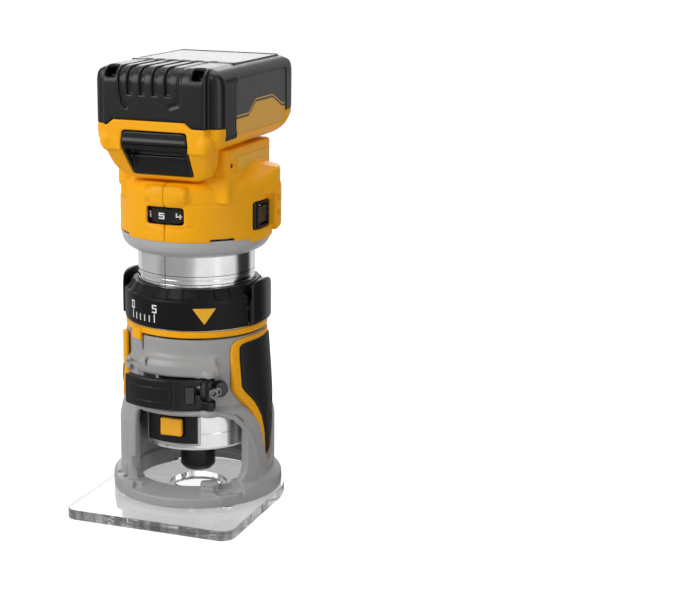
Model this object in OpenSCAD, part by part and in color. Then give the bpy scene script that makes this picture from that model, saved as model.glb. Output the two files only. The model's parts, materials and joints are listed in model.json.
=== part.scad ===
// Cordless trim router on its fixed base, with the battery pack fitted.
// Z is the spindle axis. The origin is the axis where it meets the underside of the clear sub-base.
// The speed dial, the locking lever and the battery release face -Y. The power switch is on +X.

/* [Sub-base] */
// Thickness of the clear plate
plate_t = 6; // [5:0.5:8]
// Half of its width, and the radius of its rounded rear end
plate_half_w = 52.4; // [51.5:0.1:56]
// Distance from the axis to the straight front edge
plate_front = 74; // [66:1:85]
// Radius of the two front corners
plate_corner_r = 8; // [4:1:12]
// Radius of the guide bush hole
bush_hole_r = 15.1; // [14:0.1:16]
// Radius of the guide bush counterbore
bush_seat_r = 17.5; // [17:0.1:18.5]

/* [Fixed base] */
// Outer radius of the flange
flange_r = 50.8; // [50:0.1:51.4]
// Height of the top of the flange
flange_top = 16.5; // [15:0.5:18]
// Radius of the opening in the flange
flange_hole_r = 36.5; // [36:0.5:38]
// Outer radius of the legs
leg_r = 46.5; // [45.5:0.1:47]
// Height of the top of the front window
window_top = 59.5; // [58:0.1:60]
// Outer radius of the clamp sleeve
sleeve_r = 41.3; // [41:0.1:41.5]
// Height of the top of the casting
casting_top = 105; // [104:0.5:105.5]
// Radius of the yellow trim band
band_r = 42; // [41.5:0.1:42.4]

/* [Locking lever] */
// Radius of the outer face of the lever in plan
lever_r = 40; // [38:0.5:41]
// Height of its lower edge
lever_low = 64.8; // [64.5:0.1:66]
// Height of its upper edge
lever_high = 82.8; // [80:0.1:83]

/* [Depth ring] */
// Outer radius of the ring
ring_r = 42.5; // [42:0.1:43]
// Height of its lower face
ring_low = 110.6; // [110.5:0.1:111]
// Height of its top edge
ring_high = 134; // [132:0.5:134.5]
// Half of the width of each quick release tab
tab_half_w = 14.5; // [12:0.5:15]

/* [Motor unit] */
// Outer radius of the aluminium barrel
barrel_r = 34.5; // [34:0.1:34.5]
// Height of the bottom of the barrel
barrel_low = 36; // [34:0.5:37]
// Outer radius of the front of the motor head
head_r = 44.3; // [44:0.1:45]
// Outer radius of the vented rear of the motor head
cowl_r = 50; // [48:0.5:50.5]
// Half of the width of the neck under the battery
neck_half_w = 35; // [33:0.5:35.5]
// Wall thickness of the plastic shells
shell_t = 2.6; // [2:0.1:3]

/* [Battery] */
// Half of the width of the pack
pack_half_w = 39.2; // [38:0.1:40]
// Distance from the axis to the front of the pack body
pack_front = 53.5; // [52:0.5:54.5]
// Distance from the axis to the rear of the pack
pack_rear = 59.5; // [57:0.5:61]
// Distance from the axis to the front of its nose
nose_front = 56.8; // [56:0.1:58]
// Height of the underside of the pack body
pack_low = 215.6; // [215.6:0.1:216]
// Height of the joint between its two shells
pack_joint = 230; // [228:0.5:232]
// Height of the top of the pack, which is the height of the tool
pack_top = 262.5; // [262:0.5:264]

/* [Hidden] */
$fn = 96;

casting_grey = [0.66, 0.65, 0.64];
trim_yellow = [0.98, 0.68, 0.12];
soft_black = [0.12, 0.12, 0.13];
steel = [0.75, 0.76, 0.78];
copper = [0.72, 0.45, 0.2];
fit_gap = 0.05;
cut = 0.5;

// Sleeve, barrel and ring
bore_r = barrel_r + fit_gap;
barrel_inner_r = 32;
barrel_high = 160;
barrel_floor = 5;
channel_r = 39.2;
channel_half_w = 18;
band_low = casting_top;
band_high = 110;
ring_top_r = 38.2;
ring_shoulder = 127.5;
tab_pin_x = 38.3;
tab_pin_z = 121;
tab_pin_r = 1;
tab_pin_half_l = tab_half_w + 1.6;
tab_pocket_x = 36.2;

// Guide pins of the sleeve
guide_angles = [150, 210];

// Lever: centre of its plan arc, wall, pivot, and the span of the fork round the plunger
lever_centre = [-5, -10];
lever_wall = 4.5;
pivot = [24, -37.5];
pivot_r = 2;
knuckle_r = 4.3;
fork_low = 69.8;
fork_high = 81;
fork_x = 20.4;
insert_low = 68.6;
insert_high = 78.6;
plunger_a = 42;
plunger_z = 75.4;
plunger_r = 4.4;
plunger_face_r = 44.6;
adjuster_a = 38.5;
ledge_low = 83.3;
ledge_high = 91;

// Spindle and motor
nut_low = 14.8;
nut_r = 10.5;
collet_r = 6.35 / 2;
shaft_r = 5;
rotor_r = 15.5;
stator_inner_r = 16.2;
lock_low = 39.5;
lock_high = 57.5;
lock_face_r = 36.3;
lock_pin_z = 50;

// Motor head
head_low = 164.4;
head_high = 192;
neck_front = -34;
neck_rear = 31;
neck_high = 215.2;
head_screw_z = 206;
dial_r = 16;
dial_centre = [-0.5, -27.3];
dial_low = 173.2;
dial_high = 181.6;
rocker_x = 41;
rocker_z = 175;

// Battery
wall = 2.4;
groove_xs = [-14, -6.5, 1, 8.5];
pack_corner = 4;
rail_half_w = 20;
slot_half_w = 21;
slot_high = 223;
cell_r = 8.4;
cell_pitch = 17.6;
cell_rows = [234.4, 251.4];
cell_half_l = 32.5;
nose_half_w = 32;
nose_back = -36;
nose_low = 197.2;
pocket_low = 200.5;
pocket_high = 226.5;
button_low = 219.6;

// ---- Shared shapes ----

// Point at radius r and angle a, which is measured from -Y towards +X
function at(a, r) = [r * sin(a), -r * cos(a)];

// Part of a turned shape, from angle a to angle b
module turned(a, b) {
    rotate([0, 0, a - 90])
        rotate_extrude(angle = b - a)
            children();
}

// Ring with a rectangular section
module ring(outer, inner, low, high) {
    translate([0, 0, low])
        difference() {
            cylinder(r = outer, h = high - low);
            translate([0, 0, -cut])
                cylinder(r = inner, h = high - low + 2 * cut);
        }
}

// Ring cut to the angles from a to b
module ring_sector(outer, inner, low, high, a, b) {
    turned(a, b)
        translate([inner, low])
            square([outer - inner, high - low]);
}

// Rod along the radius at angle a, from radius r0 to r1, at height z
module radial_rod(a, r0, r1, z, r) {
    rotate([0, 0, a])
        translate([0, -r0, z])
            rotate([90, 0, 0])
                cylinder(r = r, h = r1 - r0);
}

// Box with rounded upright edges, centred on X
module rounded_block(half_w, y0, y1, z0, z1, r) {
    translate([0, 0, z0])
        linear_extrude(z1 - z0)
            rounded_plan(half_w, y0, y1, r);
}

module rounded_plan(half_w, y0, y1, r) {
    hull()
        for (x = [-half_w + r, half_w - r], y = [y0 + r, y1 - r])
            translate([x, y])
                circle(r = r, $fn = 32);
}

// Upright prism through the +X side, whose outline is drawn in Y and Z
module side_prism(points, x0 = 10, x1 = 60) {
    translate([x0, 0, 0])
        rotate([90, 0, 90])
            linear_extrude(x1 - x0)
                polygon(points);
}

// Countersunk or pan screw standing on z, pointing down
module screw(head_r, head_h, r, length) {
    translate([0, 0, -length])
        cylinder(r = r, h = length);
    difference() {
        cylinder(r = head_r, h = head_h);
        translate([0, 0, head_h / 2])
            cylinder(r = head_r * 0.45, h = head_h, $fn = 6);
    }
}

// ---- Sub-base ----

screw_angles = [-46, 46, 134, 226];
spare_hole_angles = [-26, 19];
screw_ring_r = 45;

module sub_base_plan() {
    circle(r = plate_half_w);
    hull()
        for (side = [-1, 1]) {
            translate([side * (plate_half_w - plate_corner_r), -plate_front + plate_corner_r])
                circle(r = plate_corner_r, $fn = 32);
            translate([side * (plate_half_w - 1), -1])
                circle(r = 1, $fn = 32);
        }
}

module sub_base() {
    color([0.85, 0.93, 0.97, 0.5])
        difference() {
            linear_extrude(plate_t)
                sub_base_plan();
            translate([0, 0, -cut])
                cylinder(r = bush_hole_r, h = plate_t + 2 * cut);
            translate([0, 0, -cut])
                cylinder(r = bush_seat_r, h = 2.2 + cut);
            for (a = screw_angles)
                translate([at(a, screw_ring_r)[0], at(a, screw_ring_r)[1], -cut]) {
                    cylinder(r = 2.1, h = plate_t + 2 * cut);
                    cylinder(r = 4.4, h = 3 + cut);
                }
            for (a = spare_hole_angles)
                translate([at(a, screw_ring_r)[0], at(a, screw_ring_r)[1], -cut])
                    cylinder(r = 2.4, h = plate_t + 2 * cut);
        }
}

module sub_base_screws() {
    color(steel)
        for (a = screw_angles)
            translate([at(a, screw_ring_r)[0], at(a, screw_ring_r)[1], 3])
                mirror([0, 0, 1])
                    screw(3.8, 2.2, 2, 7.5);
}

// ---- Fixed base ----

// Outline of a side grip, seen from +X: Y and Z of each corner
grip_outer = [
    [-14, 104.6], [-22.5, 103.6], [-25.6, 100.5], [-26, 95], [-25.8, 74], [-23.5, 69.5],
    [-16.5, 61], [-9.1, 48.8], [-4.6, 35], [-1.7, 26.5], [2, 22], [7, 22.4], [11.4, 28],
    [14.8, 40], [16, 55], [24, 68], [25.8, 76], [26, 95], [24, 103.6], [14, 104.6]
];
grip_inner = [
    [-14, 101], [-19, 100.4], [-21, 98.5], [-21.4, 92], [-21.2, 75], [-19, 71.5],
    [-12.8, 64.6], [-5.8, 54], [-1.1, 40], [1.4, 29.5], [3.2, 26], [6, 26.4], [8.6, 30.5],
    [11.6, 42], [12.8, 58], [20.4, 70.5], [22, 77], [22.2, 93], [20.6, 100.4], [14, 101]
];
grip_seat_r = 41;

module base_casting() {
    color(casting_grey)
        difference() {
            union() {
                difference() {
                    casting_body();
                    casting_window();
                }
                casting_lugs();
            }
            casting_bores();
            for (side = [0, 1])
                mirror([side, 0, 0])
                    intersection() {
                        side_prism(grip_outer);
                        ring(60, grip_seat_r, flange_top + 3, casting_top + 1);
                    }
        }
}

module casting_body() {
    rotate_extrude()
        polygon([
            [flange_hole_r, plate_t], [flange_r, plate_t], [flange_r, flange_top - 2],
            [flange_r - 2, flange_top], [leg_r - 0.6, flange_top], [leg_r, flange_top + 7],
            [leg_r, 50], [leg_r - 1.5, 57], [43.6, 62], [sleeve_r, 64.4], [sleeve_r, casting_top],
            [bore_r, casting_top], [bore_r, window_top + 1], [37.5, window_top - 2],
            [37.5, flange_top], [flange_hole_r, flange_top]
        ]);
}

// The clamp ledge over the lever, the two pivot ears, the feet of the window and the split lugs
module casting_lugs() {
    turned(-29, 41)
        polygon([
            [sleeve_r - 1, ledge_low + 0.2], [45, ledge_low + 0.2], [45, 86.6], [43, 89.6],
            [sleeve_r, ledge_high], [sleeve_r - 1, ledge_high]
        ]);
    translate([pivot[0], pivot[1], ledge_low])
        cylinder(r = knuckle_r, h = 4.4);
    translate([pivot[0], pivot[1], window_top])
        cylinder(r = knuckle_r, h = 64.4 - window_top);
    ring_sector(44.5, sleeve_r - 1, 81, 90, -47, -41);
    for (a = [-26, 31.5])
        rotate([0, 0, a])
            translate([-3.6, -leg_r, 12.5])
                cube([7.2, 8.6, 11]);
}

module casting_bores() {
    translate([0, 0, 50])
        cylinder(r = bore_r, h = 60);
    // Channel that the spindle lock passes through
    intersection() {
        ring(channel_r, bore_r - 1, 50, casting_top + 1);
        translate([-channel_half_w, -45, 50])
            cube([2 * channel_half_w, 45, 60]);
    }
    // Split that the lever closes
    rotate([0, 0, -38])
        translate([-1.2, -50, 66])
            cube([2.4, 20, 45]);
    translate([pivot[0], pivot[1], window_top - 1])
        cylinder(r = pivot_r, h = 28);
    radial_rod(plunger_a, 30, 60, plunger_z, plunger_r);
    // Seat of the split clamp screw, square to the split
    translate([at(-38, 42)[0], at(-38, 42)[1], 86])
        rotate([0, 90, -38])
            translate([0, 0, -12])
                cylinder(r = 1.6, h = 24);
    for (a = screw_angles)
        translate([at(a, screw_ring_r)[0], at(a, screw_ring_r)[1], plate_t - cut])
            cylinder(r = 2, h = 5.5);
    for (a = guide_angles)
        radial_rod(a, 30, 60, 98, 2);
    // Edge guide holes beside the left foot
    for (a = [-45, -52])
        translate([at(a, 47.6)[0], at(a, 47.6)[1], 12])
            cylinder(r = 1.3, h = 10);
    // Recess with two holes beside the right foot
    ring_sector(48.4, 43.6, 12.3, 20, 41, 53);
    for (a = [43.5, 50.5])
        translate([at(a, 46)[0], at(a, 46)[1], 11.5])
            cylinder(r = 1.2, h = 4);
    // Chip gap at the rear of the opening
    ring_sector(42, 30, plate_t - cut, 12, 130, 230);
}

// Plan of the opening between the legs
module window_plan() {
    polygon([
        [-22, -60], [-22, -30], [-10, 0], [10, 0], at(55, 36), at(58, 70), [20, -70]
    ]);
}

module casting_window() {
    intersection() {
        translate([0, 0, flange_top - 1])
            linear_extrude(60)
                window_plan();
        // Front view of the opening, with an arched top
        rotate([90, 0, 10])
            linear_extrude(70)
                hull() {
                    translate([-60, flange_top - 2])
                        square([120, 22]);
                    translate([-26, 20])
                        square([6, window_top - 20]);
                    translate([22, window_top - 14])
                        circle(r = 14, $fn = 48);
                }
    }
    // Slope of the flange in front of the opening
    intersection() {
        translate([0, 0, 8])
            linear_extrude(12)
                window_plan();
        turned(-60, 75)
            polygon([
                [flange_hole_r - 1, 15.5], [flange_r + 1, 11.5], [flange_r + 1, flange_top + 1],
                [flange_hole_r - 1, flange_top + 1]
            ]);
    }
    // Pocket behind the lever
    intersection() {
        ring(46, 40.4, 64.4, ledge_low);
        turned(-34, 52)
            translate([30, 60])
                square([20, 30]);
    }
}

module trim_band() {
    color(trim_yellow) {
        ring(band_r, 39.8, band_low, band_high);
        ring_sector(43.2, sleeve_r, 96.5, band_high - 1, -33, -26);
    }
}

module grip_shell(outer) {
    rotate_extrude()
        polygon([
            [grip_seat_r, 20], [outer - 3.4, 20], [outer - 0.9, 30], [outer, 44], [outer, 60],
            [outer - 1, 78], [outer - 2.4, 99], [outer - 3, 106], [grip_seat_r, 106]
        ]);
}

module grip_edging(outer = 44.8) {
    color(trim_yellow)
        intersection() {
            grip_shell(outer);
            difference() {
                side_prism(grip_outer, 25, 60);
                side_prism(grip_inner, 20, 65);
            }
        }
}

module rubber_grip(outer = 45.4) {
    color(soft_black)
        intersection() {
            grip_shell(outer);
            side_prism(grip_inner, 25, 60);
        }
}

module grip_edging_right() grip_edging();
module grip_edging_left() mirror([1, 0, 0]) grip_edging();
module rubber_grip_right() rubber_grip();
module rubber_grip_left() mirror([1, 0, 0]) rubber_grip();

// Two pins in the sleeve that run in the grooves of the barrel
module guide_pins() {
    color(steel)
        for (a = guide_angles)
            radial_rod(a, 33.2, 41, 98, 2);
}

// ---- Locking lever ----

module lever_pivot_pin() {
    color(steel)
        translate([pivot[0], pivot[1], window_top + 1])
            cylinder(r = pivot_r, h = 86.5 - window_top - 1);
}

module locking_lever() {
    color(soft_black)
        difference() {
            union() {
                translate([lever_centre[0], lever_centre[1], 0])
                    ring_sector(lever_r, lever_r - lever_wall, lever_low, lever_high, -33, 41);
                translate([pivot[0], pivot[1], lever_low + 0.3])
                    cylinder(r = knuckle_r - 0.3, h = lever_high - lever_low - 0.6);
            }
            translate([pivot[0], pivot[1], lever_low - cut])
                cylinder(r = pivot_r + fit_gap, h = lever_high - lever_low + 2 * cut);
            // Gap of the fork, open on the side of the plunger
            translate([fork_x, -60, fork_low])
                cube([20, 60, fork_high - fork_low]);
            translate([lever_centre[0], lever_centre[1], 0])
                ring_sector(lever_r + 1, lever_r - 2, insert_low, insert_high, 26, 34);
        }
}

// Grey block set into the lever beside the fork
module lever_insert() {
    color([0.45, 0.45, 0.46])
        translate([lever_centre[0], lever_centre[1], 0])
            ring_sector(lever_r + 0.4, lever_r - 2, insert_low, insert_high, 26, 34);
}

module clamp_plunger() {
    color(steel)
        difference() {
            radial_rod(plunger_a, 35, plunger_face_r, plunger_z, plunger_r);
            radial_rod(adjuster_a, 40, 46, plunger_z, 1.6);
        }
}

module adjusting_screw() {
    color([0.3, 0.3, 0.31])
        difference() {
            union() {
                radial_rod(adjuster_a, 40, plunger_face_r + 1, plunger_z, 1.6);
                radial_rod(adjuster_a, plunger_face_r + 0.5, 47.2, plunger_z, 2.5);
            }
            rotate([0, 0, adjuster_a])
                translate([0, -45.6, plunger_z])
                    rotate([90, 0, 0])
                        cylinder(r = 1.6, h = 3, $fn = 6);
        }
}

module split_clamp_screw() {
    color(steel)
        translate([at(-38, 42)[0], at(-38, 42)[1], 86])
            rotate([0, 90, -38])
                translate([0, 0, -8])
                    cylinder(r = 1.55, h = 19);
}

// ---- Depth ring ----

module thrust_washer() {
    color(steel)
        ring(41.4, 39.9, band_high + 0.1, ring_low - 0.1);
}

knurl_count = 27;

module depth_ring() {
    color(soft_black)
        difference() {
            rotate_extrude()
                polygon([
                    [bore_r + 0.01, ring_low], [ring_r - 1, ring_low], [ring_r, ring_low + 1],
                    [ring_r, ring_shoulder], [ring_r - 0.8, ring_shoulder + 0.6],
                    [ring_top_r, ring_high], [bore_r + 0.01, ring_high]
                ]);
            // Notches in the sloping top
            for (i = [0:knurl_count - 1])
                rotate([0, 0, i * 360 / knurl_count])
                    translate([ring_top_r + 1.4, -1.1, ring_shoulder + 1])
                        cube([6, 2.2, 8]);
            // Pockets of the two quick release tabs
            for (side = [-1, 1]) {
                translate([side * (tab_pocket_x + 6) - 6, -tab_half_w - 0.5, ring_low - 1])
                    cube([12, 2 * tab_half_w + 1, 30]);
                translate([side * tab_pin_x, -tab_pin_half_l, tab_pin_z])
                    rotate([-90, 0, 0])
                        cylinder(r = tab_pin_r, h = 2 * tab_pin_half_l);
            }
        }
}

module tab_hinge_pins() {
    color(steel)
        for (side = [-1, 1])
            translate([side * tab_pin_x, -tab_pin_half_l, tab_pin_z])
                rotate([-90, 0, 0])
                    cylinder(r = tab_pin_r, h = 2 * tab_pin_half_l);
}

module tab_springs() {
    color(steel)
        for (side = [-1, 1])
            translate([side * tab_pin_x, -3, tab_pin_z])
                rotate([-90, 0, 0])
                    difference() {
                        cylinder(r = 1.6, h = 6);
                        translate([0, 0, -cut])
                            cylinder(r = tab_pin_r, h = 8);
                    }
}

// Quick release tab: a curved pad that leans in over the ring, on a hinge at half height
module release_tab() {
    color(soft_black)
        difference() {
            intersection() {
                rotate([90, 0, 0])
                    translate([0, 0, -tab_half_w])
                        linear_extrude(2 * tab_half_w)
                            polygon([
                                [39.2, 111.2], [46, 111.2], [46, 134.5], [44.4, 138.6],
                                [42, 140.2], [39.2, 139.6], [38.6, 137.6], [40.8, 135.2],
                                [40.6, 126.5], [38.9, 124.2], [36.7, 123], [36.7, 119],
                                [38.9, 117.6]
                            ]);
                translate([0, 0, 100])
                    cylinder(r = 44.6, h = 60);
            }
            translate([tab_pin_x, -30, tab_pin_z])
                rotate([-90, 0, 0])
                    cylinder(r = tab_pin_r + fit_gap, h = 60);
            translate([tab_pin_x, -3.3, tab_pin_z])
                rotate([-90, 0, 0])
                    cylinder(r = 2, h = 6.6);
        }
}

module release_tab_right() release_tab();
module release_tab_left() mirror([1, 0, 0]) release_tab();

// ---- Motor unit ----

module motor_barrel() {
    color(steel)
        difference() {
            union() {
                ring(barrel_r, barrel_inner_r, barrel_low + 1.5, barrel_high);
                translate([0, 0, barrel_low])
                    cylinder(r1 = barrel_r - 1.5, r2 = barrel_r, h = 1.5);
                translate([0, 0, barrel_low + 1.5])
                    cylinder(r = barrel_r - 0.5, h = barrel_floor - 1.5);
                ring(15, 11, barrel_low + 1, 47.5);
                ring(barrel_r - 1, 11, 148, 152);
            }
            translate([0, 0, barrel_low - cut])
                cylinder(r = 11, h = 14);
            ring_sector(barrel_r + 1, 14.6, lock_low, lock_high, -29, 27);
            // Groove line round the bottom and the thread runout above the ring
            for (z = [46, 135.4, 138.2])
                ring(barrel_r + 1, barrel_r - 0.35, z, z + 0.5);
            // Grooves that the guide pins run in
            for (a = guide_angles)
                rotate([0, 0, a])
                    translate([-2.2, -barrel_r - 1, barrel_low - 1])
                        cube([4.4, 2.6, 80]);
            // Air inlets through the floor
            for (a = [-100, -35, 35, 100])
                rotate([0, 0, a])
                    translate([0, 23, barrel_low - cut])
                        cylinder(r = 3.4, h = 8);
        }
}

module barrel_collar() {
    color(casting_grey)
        rotate_extrude()
            polygon([
                [barrel_r, 152.4], [35.8, 152.2], [37.6, 153.6], [43.4, 161.2], [43.8, 163.2],
                [42.4, 163.2], [37, 156.4], [barrel_r, 156]
            ]);
}

// Black louvre ring that shows through the gap between the head and the collar
module vent_ring() {
    color(soft_black)
        difference() {
            rotate_extrude()
                polygon([
                    [36.6, 156.6], [41.2, 162], [42, 163.3], [43, 163.5], [43, 164.3],
                    [39, 164.3], [36.6, 160]
                ]);
            for (i = [0:35])
                rotate([0, 0, 10 * i])
                    translate([41, -1, 163])
                        cube([4, 2, 3]);
        }
}

// Solid outline of the motor head, shrunk by g on all its sides
module head_body(g) {
    rotate_extrude()
        polygon([
            [0, head_low + g], [head_r - g, head_low + g], [head_r - g, head_high - g],
            [head_r - 3 - g, head_high + 4 - g], [0, head_high + 4 - g]
        ]);
    turned(98, 262)
        polygon([
            [0, head_low + g], [cowl_r - g - 2, head_low + g], [cowl_r - g, head_low + 2 + g],
            [cowl_r - g, 190 - g], [cowl_r - 12 - g, 199 - g], [0, 199 - g]
        ]);
    rounded_block(neck_half_w - g, neck_front + g, neck_rear - g, head_high, neck_high - g, 4);
}

module head_shell() {
    difference() {
        head_body(0);
        head_body(shell_t);
        // Floor opening for the barrel, and the opening for the terminals
        translate([0, 0, head_low - cut])
            cylinder(r = 40, h = shell_t + 2 * cut);
        translate([-14, -24, neck_high - 4])
            cube([28, 48, 6]);
        // Speed dial window and power switch opening
        translate([-11.6, -50, 172.7])
            cube([22.4, 14, 9.4]);
        translate([38, -13.5, 167])
            cube([12, 19, 16]);
        // Vent slots of the rear cowl
        for (z = [170, 177, 184], a = [115:13:245])
            rotate([0, 0, a])
                translate([-2.6, -cowl_r - 1, z])
                    cube([5.2, 6, 2.6]);
        for (y = [-28, 22], side = [-1, 1])
            translate([0, y, head_screw_z])
                rotate([0, side * 90, 0])
                    cylinder(r = 1.5, h = 60);
    }
    // Boss over the dial
    intersection() {
        translate([0, -head_r + 3.4, 189.5])
            rotate([0, 90, 0])
                translate([0, 0, -12.6])
                    cylinder(r = 4.6, h = 26);
        translate([-20, -60, 180])
            cube([40, 21, 20]);
        difference() {
            translate([0, 0, 180])
                cylinder(r = 60, h = 30);
            head_body(1);
        }
    }
}

module head_shell_left() {
    color(trim_yellow)
        intersection() {
            head_shell();
            translate([-60, -60, 150])
                cube([60, 120, 80]);
        }
}

module head_shell_right() {
    color(trim_yellow)
        intersection() {
            head_shell();
            translate([0, -60, 150])
                cube([60, 120, 80]);
        }
}

module head_screws() {
    color(steel)
        for (y = [-28, 22], side = [-1, 1])
            translate([side * (neck_half_w - 1.6), y, head_screw_z])
                rotate([0, side * 90, 0])
                    translate([0, 0, -10])
                        cylinder(r = 1.5, h = 11);
}

module rating_plate() {
    color([0.9, 0.62, 0.12])
        translate([neck_half_w, -22, 202])
            cube([0.4, 48, 8]);
}

// Contact carrier with the two rails that the pack slides onto
module terminal_block() {
    color(soft_black)
        difference() {
            union() {
                translate([-rail_half_w, -27, neck_high])
                    cube([2 * rail_half_w, 54, 4]);
                translate([-13, -23, neck_high - 8])
                    cube([26, 46, 8]);
            }
            for (x = [-9, -3, 3, 9])
                translate([x - 0.6, -30, neck_high + 0.3])
                    cube([1.2, 40, 8]);
        }
}

module controller_board() {
    color([0.1, 0.35, 0.2]) {
        translate([-26, 24, 168])
            cube([52, 1.6, 34]);
        for (x = [-18, 0, 18])
            translate([x, 25.6, 176])
                rotate([-90, 0, 0])
                    cylinder(r = 4, h = 4);
    }
}

module stator() {
    color(copper)
        difference() {
            ring(barrel_inner_r, stator_inner_r, 78, 122);
            for (i = [0:5])
                rotate([0, 0, 60 * i])
                    translate([0, 24, 77])
                        cylinder(r = 4.2, h = 46);
        }
}

module lower_bearing() {
    color(steel)
        ring(11, shaft_r, barrel_low + 5.5, 45.5);
}

module upper_bearing() {
    color(steel)
        ring(11, shaft_r, 146, 152);
}

module lock_housing() {
    color([0.2, 0.2, 0.21])
        difference() {
            ring_sector(lock_face_r, 15.2, lock_low, lock_high, -29, 27);
            // Button opening, pin bore and spring seat
            translate([-7.4, -38, 45.2])
                cube([14.6, 6.5, 11.6]);
            translate([0, 0, lock_pin_z])
                rotate([90, 0, 0])
                    cylinder(r = 2.05, h = 40);
            translate([0, -22, lock_pin_z])
                rotate([90, 0, 0])
                    cylinder(r = 4, h = 12);
        }
}

module lock_spring() {
    color(steel)
        translate([0, -22.4, lock_pin_z])
            rotate([90, 0, 0])
                difference() {
                    cylinder(r = 3.6, h = 12.6);
                    translate([0, 0, -cut])
                        cylinder(r = 2.5, h = 14);
                }
}

module spindle_lock_button() {
    color(trim_yellow) {
        translate([-6.8, -38.4, 45.8])
            cube([13.4, 3, 10.4]);
        translate([0, -9.2, lock_pin_z])
            rotate([90, 0, 0])
                cylinder(r = 2, h = 27);
    }
}

module switch_frame() {
    color(soft_black)
        difference() {
            intersection() {
                translate([38.4, -13.3, 167.2])
                    cube([8, 18.6, 15.6]);
                cylinder(r = head_r + 0.3, h = 300);
            }
            translate([37, -9.4, 169])
                cube([10, 13, 12]);
        }
}

module power_rocker() {
    color([0.3, 0.3, 0.32])
        union() {
            translate([0, -9, 0])
                rotate([-90, 0, 0])
                    linear_extrude(12.2)
                        polygon([
                            [40.4, -170.2], [43.4, -169.8], [43, -175], [44, -180.4],
                            [40.4, -179.6]
                        ]);
            // Round back that turns in the switch
            translate([rocker_x, -9, rocker_z])
                rotate([-90, 0, 0])
                    cylinder(r = 2.6, h = 12.2);
        }
}

module switch_body() {
    color(soft_black)
        translate([29, -11, 167])
            cube([9, 15, 16]);
}

module speed_dial() {
    color(soft_black)
        translate([dial_centre[0], dial_centre[1], dial_low])
            difference() {
                cylinder(r = dial_r, h = dial_high - dial_low);
                translate([0, 0, -cut])
                    cylinder(r = 2 + fit_gap, h = 20);
                for (i = [0:35])
                    rotate([0, 0, 10 * i])
                        translate([dial_r, 0, dial_high - dial_low - 1.2])
                            cylinder(r = 0.5, h = 3, $fn = 16);
            }
}

module dial_potentiometer() {
    color([0.2, 0.3, 0.5])
        translate([dial_centre[0], dial_centre[1], 0]) {
            translate([0, 0, dial_low - 1])
                cylinder(r = 2, h = dial_high - dial_low + 2);
            translate([-6, -6, dial_high + 1])
                cube([12, 12, 5]);
        }
}

// ---- Spindle ----

module spindle_shaft() {
    color(steel)
        difference() {
            union() {
                translate([0, 0, 34])
                    cylinder(r = shaft_r - fit_gap, h = 125);
                translate([0, 0, 22])
                    cylinder(r = 7.4, h = 12.2);
            }
            translate([0, 0, 21])
                cylinder(r1 = 6, r2 = 4.4, h = 12);
        }
}

module rotor_core() {
    color([0.5, 0.5, 0.52])
        ring(rotor_r, shaft_r - fit_gap, 76, 124);
}

module cooling_fan() {
    color(soft_black) {
        ring(30.6, shaft_r - fit_gap, 153.6, 155);
        ring(9, shaft_r - fit_gap, 154, 158.8);
        for (i = [0:8])
            rotate([0, 0, 40 * i])
                translate([8, -0.7, 154.5])
                    rotate([0, 0, 18])
                        cube([22, 1.4, 3.6]);
    }
}

module lock_disc() {
    color(steel)
        difference() {
            ring(9, shaft_r - fit_gap, 46.4, 54);
            for (a = [0, 90, 180, 270])
                radial_rod(a, 5.9, 12, lock_pin_z, 2.3);
        }
}

module collet() {
    color(steel)
        difference() {
            translate([0, 0, 17])
                cylinder(r1 = 6.5, r2 = 4.3, h = 15.8);
            translate([0, 0, 16])
                cylinder(r = collet_r, h = 18);
            for (i = [0:3])
                rotate([0, 0, 90 * i + 45])
                    translate([2.6, -0.4, 16])
                        cube([6, 0.8, 12]);
        }
}

module collet_nut() {
    color(soft_black)
        rotate_extrude()
            polygon([
                [6.9, nut_low], [8.4, nut_low], [nut_r, nut_low + 2.4], [nut_r, 33.4],
                [nut_r - 0.8, 34.2], [7.45, 34.2], [7.45, 22], [6.9, 21.4]
            ]);
}

// ---- Battery ----

// Solid outline of the pack, shrunk by g, without its nose
module pack_body(g) {
    intersection() {
        rounded_block(pack_half_w - g, -pack_front + g, pack_rear - g, pack_low + g,
            pack_top - g, pack_corner);
        side_prism([
            [-60, pack_low - 1], [22, pack_low - 1], [46, pack_low + 5 + g], [pack_rear - g, 230],
            [pack_rear - g, 250], [pack_rear - 9 - g, pack_top - g], [-46 + g, pack_top - g],
            [-60 + g, 256]
        ], -60, 60);
    }
}

// Solid outline of the nose that carries the release: its side, front and plan views crossed
module pack_nose(g) {
    intersection() {
        side_prism([
            [-nose_front + g, 254 - g], [-nose_front + g, 217], [-54 + g, 209], [-49 + g, 201.5 + g],
            [-44, nose_low + g], [nose_back - g, nose_low + g], [nose_back - g, 254 - g]
        ], -60, 60);
        rotate([90, 0, 0])
            linear_extrude(80)
                polygon([
                    [-pack_half_w + g, 256], [-pack_half_w + g, 222], [-34 + g, 210],
                    [-27 + g, 201 + g], [-18, nose_low + g], [18, nose_low + g],
                    [27 - g, 201 + g], [34 - g, 210], [pack_half_w - g, 222],
                    [pack_half_w - g, 256]
                ]);
        translate([0, 0, 190])
            linear_extrude(80)
                polygon([
                    [-nose_half_w + g, -nose_front], [nose_half_w - g, -nose_front],
                    [pack_half_w - g, -50], [pack_half_w - g, -20], [-pack_half_w + g, -20],
                    [-pack_half_w + g, -50]
                ]);
    }
}

// Front view of the release pocket, shrunk by g, cut back from the front of the nose
module pocket_prism(g, depth) {
    translate([0, -60 + depth, 0])
        rotate([90, 0, 0])
            linear_extrude(depth)
                polygon([
                    [-19 + g, pocket_high - g], [-19.6 + g, 219], [-16 + g, pocket_low + g],
                    [16 - g, pocket_low + g], [19.6 - g, 219], [19 - g, pocket_high - g]
                ]);
}

module pack_outline(g) {
    pack_body(g);
    pack_nose(g);
}

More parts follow.
